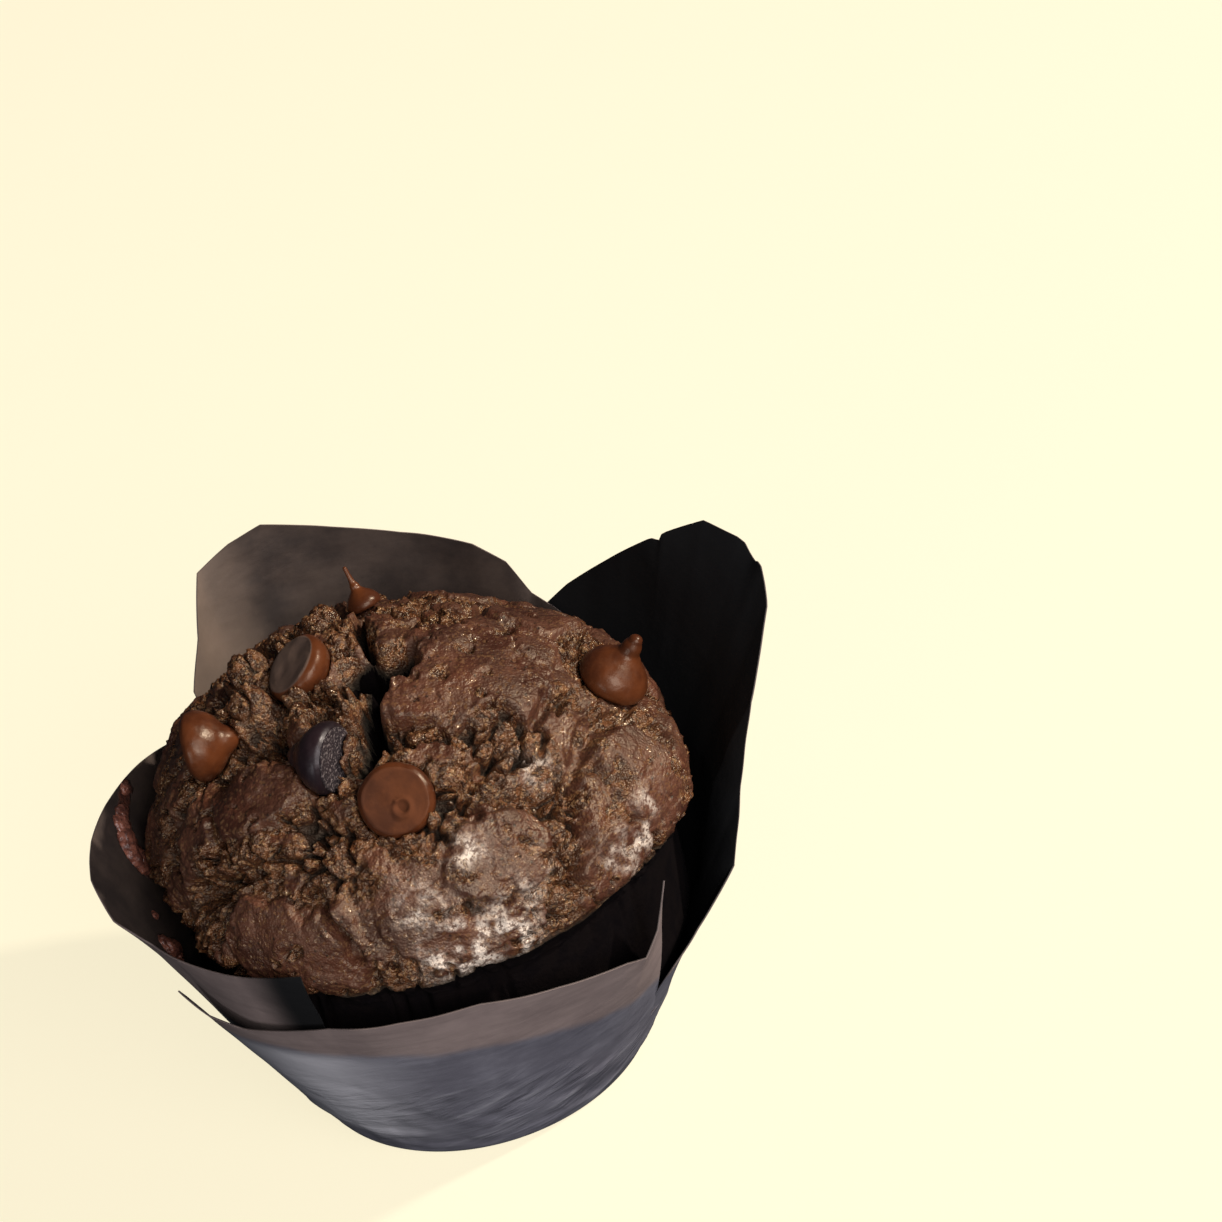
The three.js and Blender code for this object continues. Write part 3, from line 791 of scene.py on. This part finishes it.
def chocolate_material(slot, light, dark, roughness, bloom, film, sheen):
    """Chocolate with a dull bloom. The flat end has a greyish film where the chip has one, partly bloom and
    partly a painted reflection, and painted glint specks where it is grainy.
    """
    n = Nodes(slot)
    filmed = n.attribute("film")
    broad = n.noise(4.5, 3)
    colour = n.mix(n.range(broad, 0.35, 0.65), light, dark)
    colour = n.mix(n.range(n.noise(0.8, 4, 0.6), 0.55, 0.8, 0.0, 0.4), colour, bloom)
    colour = n.mix(filmed, colour, film)
    grainy = n.attribute("grainy")
    # Painted highlight: whitish glint specks on the grainy flat end.
    painted_glint_specks = n.range(n.noise(0.36, 2, 0.5), 0.48, 0.7, 0.0, 0.6)
    colour = n.mix(n.times(grainy, painted_glint_specks), colour, srgb(138, 124, 120))
    rough = n.blend(n.range(n.noise(1.4, 3), 0.4, 0.65), roughness, roughness + 0.12)
    rough = n.blend(n.attribute("flat"), rough, 0.9)
    normal = n.bump(n.noise(1.1, 4, 0.55), 0.12, strength=0.7)
    normal = n.bump(n.times(grainy, n.noise(0.5, 2)), 0.5, normal)
    return n.finish(colour, rough, 0.38, normal, Specular_Tint=(*sheen, 1.0))


def floor_material():
    n = Nodes("pale_floor")
    tone = n.mix(n.noise(60, 2), FLOOR_COLOUR, FLOOR_COLOUR_2)
    n.fill(n.shader, {"Base_Color": tone, "Roughness": 1.0, "Specular_IOR_Level": 0.0,
                      "Emission_Color": (*FLOOR_GLOW, 1), "Emission_Strength": 1.0})
    return n.material


# The chips

def chip_frame(spec):
    """The middle of the flat end, and a turn from the chip's own axes, where its tip is along +Z."""
    turn = Vector((0, 0, 1)).rotation_difference(Vector(spec["tip"]).normalized()).to_matrix()
    return np.array(spec["at"], float), np.array(turn)


def chip_profile(spec):
    """Radii and heights along the outline, from the edge of the flat end to the tip."""
    scale = spec.get("scale", 1)
    strand = spec.get("strand", 0)
    outline = CHIP_OUTLINE[:6] + BLUNT_END if spec.get("blunt") else CHIP_OUTLINE
    points = [(CHIP_RADIUS * scale * r, CHIP_HEIGHT * scale * h) for r, h in outline]
    if strand:
        points.append((STRAND_RADII[0], CHIP_HEIGHT * scale + 0.4 * strand))
        points.append((STRAND_RADII[1], CHIP_HEIGHT * scale + strand))
    points = np.array(points)
    steps = np.concatenate([[0], np.cumsum(np.hypot(*np.diff(points, axis=0).T))])
    t = np.linspace(0, steps[-1], CHIP_ROWS)
    return curve(steps, points[:, 0], t), curve(steps, points[:, 1], t)


def curve(x, y, t):
    """A smooth curve through points, with the slope at each from its two neighbours."""
    slope = np.gradient(y, x)
    i = np.clip(np.searchsorted(x, t, "right") - 1, 0, len(x) - 2)
    h = x[i + 1] - x[i]
    u = (t - x[i]) / h
    return ((2 * u ** 3 - 3 * u ** 2 + 1) * y[i] + (u ** 3 - 2 * u ** 2 + u) * h * slope[i]
            + (3 * u ** 2 - 2 * u ** 3) * y[i + 1] + (u ** 3 - u ** 2) * h * slope[i + 1])


# The fold in the flat end of a chip: a ridge as (radius, width, height) round part of a dent as
# (radius, depth), both at one place.
FOLD_AT = (0.9, 0.9)
FOLD_TURN = 34.4
FOLD = (1.2, 0.4, 0.45)
DENT = (1.1, 0.3)
CHIP_ROWS = 46
DISC_ROWS = 18
TIP_ROWS = 6
TIP_ROUND = 0.9
# Unevenness of a chip, on its flat end and all over: (size, height).
DISC_UNEVEN = (2.4, 0.2)
CHIP_UNEVEN = (3.1, 0.16)
CHIP_DIMPLES = (1.1, 0.05)


def chip_piece(name, spec, material, slot):
    """A chip: a lathed drop, softened by noise, with a fold in its flat end where it has one."""
    radii, heights = chip_profile(spec)
    disc = np.linspace(0, 1, DISC_ROWS, endpoint=False)[1:]
    scale = spec.get("scale", 1)
    rows = [(radii[0] * s, 0.0) for s in disc]
    rows += list(zip(radii, heights))
    tip_angle = np.linspace(0, np.pi / 2, TIP_ROWS + 1)[1:-1]
    tip = TIP_ROUND * radii[-1]
    rows += [(radii[-1] * np.cos(a), heights[-1] + tip * np.sin(a)) for a in tip_angle]
    top = heights[-1] + tip
    turn = np.linspace(0, 360, CHIP_SIDES, endpoint=False)
    points, faces = lathe([around(turn, r, h) for r, h in rows], 0, top)
    r = np.hypot(points[:, 0], points[:, 1])
    flat = points[:, 2] < 1e-6
    fold_at = np.linalg.norm(points[:, :2] - scale * np.array(FOLD_AT), axis=1)
    part_way = (0.5 + 0.5 * np.cos(radians(azimuths(points) - FOLD_TURN))) ** 2
    fold = FOLD[2] * np.exp(-((fold_at - FOLD[0] * scale) / FOLD[1]) ** 2) * part_way
    dent = DENT[1] * np.exp(-(fold_at / (DENT[0] * scale)) ** 2)
    in_disc = r < radii[0]
    uneven = waves(points, DISC_UNEVEN, 9) * in_disc
    points[:, 2] -= np.where(flat, spec.get("fold", 0) * (fold - dent * in_disc) - uneven, 0)
    origin, turned = chip_frame(spec)
    world = points @ turned.T + origin
    soft = scale * waves(world, CHIP_UNEVEN) + waves(world, CHIP_DIMPLES)
    outward = points - np.array([0, 0, 0.35 * top])
    outward /= np.linalg.norm(outward, axis=1, keepdims=True)
    world += (outward @ turned.T) * soft[:, None]
    finish_piece(add_mesh(name + "_look", world, faces), slot, material, name,
                 flat=flat, film=flat * spec.get("film", 0), grainy=flat * spec.get("grainy", 0))


def inside_chip(points, spec, grow):
    """Which points lie in a chip grown by a gap, or before a flat end that is kept clear."""
    origin, turned = chip_frame(spec)
    local = (points - origin) @ turned
    radii, heights = chip_profile(spec)
    top = heights[-1]
    wide = np.interp(local[:, 2], heights, radii, left=radii[0], right=radii[-1])
    r = np.hypot(local[:, 0], local[:, 1])
    return (local[:, 2] > -grow - spec.get("clear", 0)) & (local[:, 2] < top + grow) & (r < wide + grow)


# The cake

# The cake has painted shade below its edge and deep in a crack, and has its own near-black material, painted
# shade too, where it is darkest.
SHADE_POLAR = (82, 87)
SHADE_CRACK = (2.4, 3.8)
DIM_CRACK = 1.6
SIDE_SHADE = 0.8
BELOW_POLAR = (80, 88)
BELOW_CALM = 0.5
# Spots of crust that shine with fat, with lower roughness and a painted whitish sheen in their colour:
# (azimuth, polar, radius, strength).
OILY_PAINTED_SHEEN = [
    (304, 48, 2.4, 1), (278, 56.5, 2.2, 1), (264.8, 65, 2.4, 1), (267, 75, 2.6, 1.8), (271, 78, 4.2, 2.2),
    (280, 78.5, 3.6, 2.0), (284.4, 71.5, 2.6, 1), (310, 76, 2.8, 1), (316, 77, 2.2, 1), (321, 70, 2.0, 1),
    (292, 66, 1.8, 1),
]
OILY_SHEEN_DRIFT = (2.2, 1.2, 7.0)
OILY_SHEEN_PATCHES = (1.3, 15, -0.5, 0.4)
# The crumb is pushed out of a chip's place by steps.
POCKET_STEP = 0.25
POCKET_STEPS = 60


def oily_spots(points):
    """How much a point of the crown shines with fat, which gives it lower roughness and a painted whitish
    sheen.
    """
    strayed = drift(points, *OILY_SHEEN_DRIFT)
    return np.max([soft_lump(strayed, spot) for spot in OILY_PAINTED_SHEEN], axis=0) * patches(points, *OILY_SHEEN_PATCHES)


def cake_piece(material, side_look):
    """The cake: a ball of even triangles shaped into the crown, the wall and the base."""
    work = bmesh.new()
    bmesh.ops.create_icosphere(work, subdivisions=CAKE_SUBDIVISIONS, radius=1)
    mesh = bpy.data.meshes.new("cake_surface")
    work.to_mesh(mesh)
    work.free()
    ball = np.zeros(len(mesh.vertices) * 3)
    mesh.vertices.foreach_get("co", ball)
    ball = ball.reshape(-1, 3)
    ball /= np.linalg.norm(ball, axis=1, keepdims=True)
    down = np.degrees(np.arccos(np.clip(ball[:, 2], -1, 1)))
    azimuth = azimuths(ball)
    polar = np.minimum(90, 90 * down / CROWN_PART)
    plain = crown_point(azimuth, polar)
    relief, crust, crack = crown_relief(plain, polar)
    normal = crown_normal(plain)
    below = smoothstep(polar, *BELOW_POLAR)
    raised = plain + relief[:, None] * normal
    fine = lerp(crumb_relief(raised), crust_relief(raised), crust) * (1 - BELOW_CALM * below)
    points = plain + (relief + fine)[:, None] * normal
    wall = np.clip((down - CROWN_PART) / (WALL_PART - CROWN_PART), 0, 1)
    inward = np.clip((180 - down) / (180 - WALL_PART), 0, 1)
    z = lerp(CROWN_EDGE, CAKE_FLOOR, wall)
    neck_radius = CROWN_RADIUS - NECK_INSET
    plain_wall = np.minimum(neck_radius, cone_paper(z, azimuth) - CAKE_INSET)
    edge_relief = np.minimum(relief + fine + NECK_INSET, 0)
    radius = (plain_wall + edge_relief * np.exp(-wall * EDGE_FADE)) * inward
    on_wall = down > CROWN_PART
    points = np.where(on_wall[:, None], around(azimuth, radius, z), points)
    for spec in CHIPS.values():
        for _ in range(POCKET_STEPS):
            sunk = inside_chip(points, spec, CHIP_GAP)
            if not sunk.any():
                break
            points[sunk] -= POCKET_STEP * normal[sunk]
    mesh.vertices.foreach_set("co", (points * MM).ravel())
    mesh.update()
    mesh.shade_smooth()
    shaded = np.maximum(smoothstep(polar, *SHADE_POLAR), smoothstep(-crack, *SHADE_CRACK))
    finish_piece(add_object("cake_surface", mesh), "crumb", material, "cake",
                 crust=np.where(on_wall, 0, crust * (1 - below)),
                 height=np.where(on_wall, 0, fine + np.minimum(0, crack + DIM_CRACK)),
                 shade=shaded, oily=oily_spots(plain))
    mesh.materials.append(side_look)
    corners = np.zeros(len(mesh.polygons) * 3, np.int32)
    mesh.polygons.foreach_get("vertices", corners)
    in_shade = shaded[corners.reshape(-1, 3)].min(axis=1) > SIDE_SHADE
    mesh.polygons.foreach_set("material_index", in_shade.astype(np.int32))


# The paper case

# The torn edge of a flap: where it fades out, and the size and range of its noise.
TORN_RAMP = 3
TORN_SIZE = 2.6
TORN_EDGE = (0.0, 0.5)
# A flap has the azimuths of its rim from this share of its height.
TURN_END = 0.8
# Waves of a flap near the rim and all over: (size, height).
RIM_WAVE = (13, 0.5)
SHEET_WAVE = (5, 0.16)
WAVE_RAMP = 8


def rim_columns(rim):
    """Columns about SHEET_STEP apart along the rim, with their share of the way across."""
    columns = [rim[0]]
    for start, end in zip(rim, rim[1:]):
        steps = max(1, int(np.ceil(abs(end[0] - start[0]) / FLAP_STEP)))
        columns += [lerp(np.array(start), np.array(end), k / steps) for k in range(1, steps + 1)]
    columns = np.column_stack([np.array(columns, float), np.linspace(0, 1, len(columns))])
    edge = around(*columns[:, :3].T)
    length = np.concatenate([[0], np.cumsum(np.linalg.norm(np.diff(edge, axis=0), axis=1))])
    count = int(length[-1] / SHEET_STEP) + 1
    t = np.unique(np.concatenate([np.linspace(0, length[-1], count), length]))
    t = t[np.concatenate([[True], np.diff(t) > 0.25 * SHEET_STEP])]
    t[-1] = length[-1]
    return np.column_stack([np.interp(t, length, columns[:, k]) for k in range(4)] + [t])


def flap_points(spec):
    """A grid of points of a flap's middle, which follows the cone, then flares out or leans in."""
    columns = rim_columns(spec["rim"])
    if spec["rim"][0][0] > spec["rim"][-1][0]:
        columns = columns[::-1]
    azimuth, radius, height, across, along = columns.T
    low, high, depth = spec.get("torn", (0, 0, 0))
    ragged = noise(np.stack([along / TORN_SIZE, 0 * along, 0 * along + 0.5], axis=1))
    nick = depth * between(azimuth, low, high, TORN_RAMP) * smoothstep(ragged, *TORN_EDGE)
    rows = int((height.max() - FLAP_FOOT_HEIGHT) / SHEET_STEP) + 1
    grid = []
    flow = []
    for up in np.linspace(0, 1, rows):
        z = lerp(FLAP_FOOT_HEIGHT, height, up)
        foot = lerp(spec["foot"][0], spec["foot"][1], across)
        turn = lerp(foot, azimuth, smoothstep(up, 0, TURN_END))
        lean = radius - cone_paper(height, turn)
        r = cone_paper(z, turn) + lean * np.where(lean > 0, up ** FLARE_POWER, up ** LEAN_POWER)
        for low, high in spec.get("tucked", []):
            r = r - TUCK * between(turn, low, high, TUCK_RAMP)
        here = around(turn, r, z - nick * up ** NICK_POWER)
        wave = waves(here, RIM_WAVE, 3) * up + waves(here, SHEET_WAVE, 6)
        wave = wave * smoothstep(z, FLAP_FOOT_HEIGHT, FLAP_FOOT_HEIGHT + WAVE_RAMP)
        here += wave[:, None] * around(turn, 1, 0)
        grid.append(here)
        flow.append(np.stack([along, z, np.zeros(len(z))], axis=1))
    return np.array(grid), np.array(flow)


def sheet_mesh(grid, flow):
    """Points, faces and flow of a closed sheet of paper made from a grid of points."""
    rows, columns, _ = grid.shape
    across = np.gradient(grid, axis=1)
    upward = np.gradient(grid, axis=0)
    normal = np.cross(across, upward)
    normal /= np.linalg.norm(normal, axis=2, keepdims=True)
    points = np.concatenate([(grid + side * PAPER / 2 * normal).reshape(-1, 3) for side in (1, -1)])
    size = rows * columns
    faces = []
    border = []
    for left in range(0, size - columns, columns):
        for a in range(left, left + columns - 1):
            b = a + columns
            faces.append((a, a + 1, b + 1, b))
            faces.append((size + a, size + b, size + b + 1, size + a + 1))
        right = left + columns - 1
        border += [(left, left + columns), (right + columns, right)]
    for low in range(columns - 1):
        top = size - columns + low
        border += [(low + 1, low), (top, top + 1)]
    faces += [(a, b, size + b, size + a) for a, b in border]
    return points, faces, np.concatenate([flow.reshape(-1, 3)] * 2)


# Folds in the cup: how close round the base and up, how slanting and how sharp they are.
FOLDS_ROUND = 3.4
FOLDS_UP = 4.5
FOLDS_SLANT = 9
FOLDS_SHARP = 5
# Heights between which they begin, and from which they fade out.
FOLDS_BEGIN = (0.8, 3)
FOLDS_END = 8.5
# The cup's mesh: where its wall and its base end, and their rows.
CUP_FOOT = 0.6
CUP_EDGE = 0.7
CUP_ROWS = 16
BASE_ROWS = 24


def cup_folds(turn, z):
    """Thin slanting ridges, pressed into the paper near the base."""
    place = around(turn, FOLDS_ROUND, z / FOLDS_UP) + np.array([z / FOLDS_SLANT, 0, 0])
    ridge, groove = [(1 - np.abs(noise(place + seed))) ** FOLDS_SHARP for seed in (0, 7.7)]
    return ridge - 0.5 * groove


def cup_mesh():
    """The closed lower part of the case, with its flat base."""
    heights = np.linspace(CUP_FOOT, FLAP_FOOT_HEIGHT, CUP_ROWS)
    base = np.linspace(0, BASE_RADIUS - CUP_EDGE, BASE_ROWS)[1:]
    rows = [(r, 0, 0) for r in base]
    rows += [(plain_cone(z) + PAPER / 2, z, 1) for z in heights]
    rows += [(plain_cone(z) - PAPER / 2, z, 1) for z in heights[::-1]]
    rows += [(r, PAPER, 0) for r in base[::-1]]
    turn = np.linspace(0, 360, CUP_SIDES, endpoint=False)
    rings = []
    for r, z, on_wall in rows:
        fold = smoothstep(z, *FOLDS_BEGIN) * (1 - smoothstep(z, FOLDS_END, FLAP_FOOT_HEIGHT))
        wide = r + (cone_paper(z, turn) - plain_cone(z)) * on_wall
        wide = wide + CUP_FOLD * fold * on_wall * cup_folds(turn, z)
        rings.append(around(turn, wide, z))
    points, faces = lathe(rings, 0, PAPER)
    round_way = azimuths(points) * radians(BASE_RADIUS)
    return points, faces, np.stack([round_way, points[:, 2], 0 * round_way], axis=1)


@functools.cache
def left_flap():
    """Points of the left flap's middle."""
    grid, _ = flap_points(FLAPS["left"])
    return grid.reshape(-1, 3)


def flap_place(azimuth, z):
    """The point of the left flap's middle at an azimuth and a height."""
    points = left_flap()
    round_way = np.abs(azimuths(points) % 360 - azimuth) * radians(FLAPS["left"]["rim"][0][1])
    return points[np.argmin(round_way + np.abs(points[:, 2] - z))]


def smeared(points):
    """How near a point is to the smear of crumb on the left flap."""
    away = line_distance(points, [flap_place(azimuth, z) for azimuth, z in SMEAR])
    return np.exp(-(away / SMEAR_WIDTH) ** 2)


def join(parts):
    """Points and faces of some meshes as those of one."""
    points, faces = [], []
    for part_points, part_faces in parts:
        first = sum(len(p) for p in points)
        points.append(part_points)
        faces += [tuple(first + v for v in face) for face in part_faces]
    return np.concatenate(points), faces


def case_looks(name, points):
    """Which points of a sheet are its inside, how dark painted shade makes them, how pale painted light
    makes them, and how smeared they are.
    """
    inner = np.arange(len(points)) >= len(points) // 2
    azimuth = azimuths(points) % 360
    left = name == "left"
    dark = np.maximum(smoothstep(azimuth, *DARK_END) * left, DARK_INSIDE.get(name, 0) * inner)
    # Painted light: the inside of the back flap gets paler towards its left end.
    painted_pale = PALE_END * smoothstep(azimuth, *PALE_AT) * inner * (name == "back")
    return inner, dark, painted_pale, smeared(points) * inner * left


def case_piece(material):
    """The cup and its flaps, each a closed sheet: the second half of its points is its inside."""
    sheets = {"cup": cup_mesh()}
    for name, spec in FLAPS.items():
        sheets[name] = sheet_mesh(*flap_points(spec))
    points, faces = join([sheet[:2] for sheet in sheets.values()])
    looks = zip(*[case_looks(name, sheet[0]) for name, sheet in sheets.items()])
    inner, dark, painted_pale, smear = [np.concatenate(look) for look in looks]
    azimuth = azimuths(points)
    middle, swing, highest = SOAKED
    soaked = middle + swing * np.cos(radians(azimuth - highest)) - points[:, 2]
    # Painted sheen on the lower left outside, standing in for a reflection of the floor.
    worn = np.exp(-((azimuth % 360 - SHEEN_AT) / SHEEN_WIDTH) ** 2) * smoothstep(soaked, *SHEEN_SOAKED)
    worn = SHEEN_PALENESS * worn * smoothstep(points[:, 2], *SHEEN_BEGIN) * (1 - inner)
    piece = add_mesh("paper", points, faces)
    piece.data.set_sharp_from_angle(angle=radians(PAPER_CORNER))
    finish_piece(piece, "paper", material, "paper_case",
                 flow=np.concatenate([sheet[2] for sheet in sheets.values()]) * MM,
                 inner=inner, shade=dark, smear=smear, soaked=soaked, worn=worn + painted_pale)


# The way up the flap at a bit of crumb is taken from this far below and above it.
FLAP_SPAN = 2.5
# Lumps of a bit of crumb, as shares of its radius, and its grains: (size, height).
BIT_SWELL = (1 / 1.3, 0.22)
BIT_LUMP = (1 / 3.1, 0.14)
BIT_GRAIN = (0.7, 0.16)


def crumb_bits(material):
    """Bits of crumb stuck to the inside of the left flap."""
    bits = []
    for k, (azimuth, z, radius, thickness) in enumerate(CRUMBS):
        work = bmesh.new()
        bmesh.ops.create_icosphere(work, subdivisions=4, radius=1)
        ball = np.array([v.co for v in work.verts])
        faces = [tuple(v.index for v in face.verts) for face in work.faces]
        work.free()
        middle = flap_place(azimuth, z)
        upward = flap_place(azimuth, z + FLAP_SPAN) - flap_place(azimuth, z - FLAP_SPAN)
        upward /= np.linalg.norm(upward)
        radial = np.array([middle[0], middle[1], 0])
        out = radial - (radial @ upward) * upward
        out /= np.linalg.norm(out)
        shape = 1 + waves(ball, BIT_SWELL, 5 * k) + waves(ball, BIT_LUMP, 9 * k)
        lump = ball * (radius * shape + grains(ball * radius + 7 * k, BIT_GRAIN, 0.8))[:, None]
        across = lump @ out
        lump += np.outer(np.minimum(across * thickness / radius, 0) - across, out)
        bits.append((lump + middle - PAPER / 2 * out, faces))
    finish_piece(add_mesh("crumb_bits", *join(bits)), "crumb", material)


# The stage

FLOOR_COLOUR = (0.20, 0.185, 0.14)
FLOOR_COLOUR_2 = (0.21, 0.195, 0.148)
FLOOR_GLOW = (0.875, 0.80, 0.588)
PHOTO_SIZE = 1222
FOCAL_PIXELS = 3080
SENSOR_WIDTH = 36
CAMERA_ELEVATION = 35
CAMERA_DISTANCE = 450
CAMERA_ROLL = 17
TARGET = (0, 0, 38)
TARGET_PIXEL = (424, 837)
# Lights: (name, azimuth, elevation, size, power, colour).
LIGHTS = [
    ("side", -8, 38, 0.07, 22, (1.0, 0.93, 0.82)),
    ("front", -70, 26, 1.0, 23, (0.98, 0.98, 1.0)),
    ("fill", 228, 6, 0.6, 5, (0.90, 0.94, 1.0)),
]
LIGHT_DISTANCE = 1.5
LIT_HEIGHT = 45
SKY_COLOUR = (0.80, 0.88, 1.0)
SKY_STRENGTH = 0.03
FLOOR_HALF = 1500


def make_camera():
    """The camera, turned so that TARGET shows at TARGET_PIXEL."""
    e = radians(CAMERA_ELEVATION)
    roll = radians(CAMERA_ROLL)
    back = np.array([0, -np.cos(e), np.sin(e)])
    eye = np.array(TARGET) + CAMERA_DISTANCE * back
    level = np.array([1, 0, 0])
    up = np.cross(back, level)
    rows = Matrix([
        level * np.cos(roll) - up * np.sin(roll),
        level * np.sin(roll) + up * np.cos(roll),
        back,
    ])
    middle = PHOTO_SIZE / 2
    towards = Vector((
        (TARGET_PIXEL[0] - middle) / FOCAL_PIXELS, (middle - TARGET_PIXEL[1]) / FOCAL_PIXELS, -1))
    aim = Vector((0, 0, -1)).rotation_difference(towards.normalized()).to_matrix()
    data = bpy.data.cameras.new("camera")
    camera = add_object("camera", data)
    data.sensor_width = SENSOR_WIDTH
    data.lens = FOCAL_PIXELS / PHOTO_SIZE * SENSOR_WIDTH
    data.clip_start = 0.01
    camera.matrix_world = Matrix.Translation(Vector(eye * MM)) @ (aim @ rows).transposed().to_4x4()
    bpy.context.scene.camera = camera


def make_light(name, azimuth, elevation, size, power, colour):
    """A soft square light that looks at the muffin."""
    data = bpy.data.lights.new(name, "AREA")
    data.size = size
    data.energy = power
    data.color = colour
    light = add_object(name, data)
    e = radians(elevation)
    way = Vector(around(azimuth, np.cos(e), np.sin(e)))
    light.location = way * LIGHT_DISTANCE + Vector((0, 0, LIT_HEIGHT * MM))
    light.rotation_euler = way.to_track_quat("Z", "Y").to_euler()


def make_world():
    """An even sky, which is the weak fill light."""
    world = bpy.data.worlds.new("studio")
    world.use_nodes = True
    background = world.node_tree.nodes["Background"]
    background.inputs["Color"].default_value = (*SKY_COLOUR, 1)
    background.inputs["Strength"].default_value = SKY_STRENGTH
    bpy.context.scene.world = world


def make_floor():
    corners = [(FLOOR_HALF * x, FLOOR_HALF * y, 0) for x, y in ((-1, -1), (1, -1), (1, 1), (-1, 1))]
    floor = add_mesh("floor", corners, [(0, 1, 2, 3)])
    floor.data.materials.append(floor_material())
    floor.visible_diffuse = False
    floor.visible_glossy = False


make_camera()
make_world()
for light_spec in LIGHTS:
    make_light(*light_spec)
make_floor()

chocolates = {
    "milk_chocolate": chocolate_material(
        "milk_chocolate", srgb(88, 45, 22), srgb(68, 33, 17), roughness=0.28, bloom=srgb(96, 56, 33),
        film=srgb(98, 80, 70), sheen=(1.0, 0.84, 0.66)),
    "dark_chocolate": chocolate_material(
        "dark_chocolate", srgb(36, 24, 27), srgb(28, 19, 22), roughness=0.36, bloom=srgb(52, 38, 40),
        film=srgb(40, 30, 32), sheen=(1.0, 0.94, 0.94)),
}
cake_piece(crumb_material(), side_material())
case_piece(paper_material())
crumb_bits(smear_material())
for chip_name, chip_spec in CHIPS.items():
    slot_name = "dark_chocolate" if chip_name == "chip_dark" else "milk_chocolate"
    chip_piece(chip_name, chip_spec, chocolates[slot_name], slot_name)

bpy.context.scene.view_settings.view_transform = "Standard"
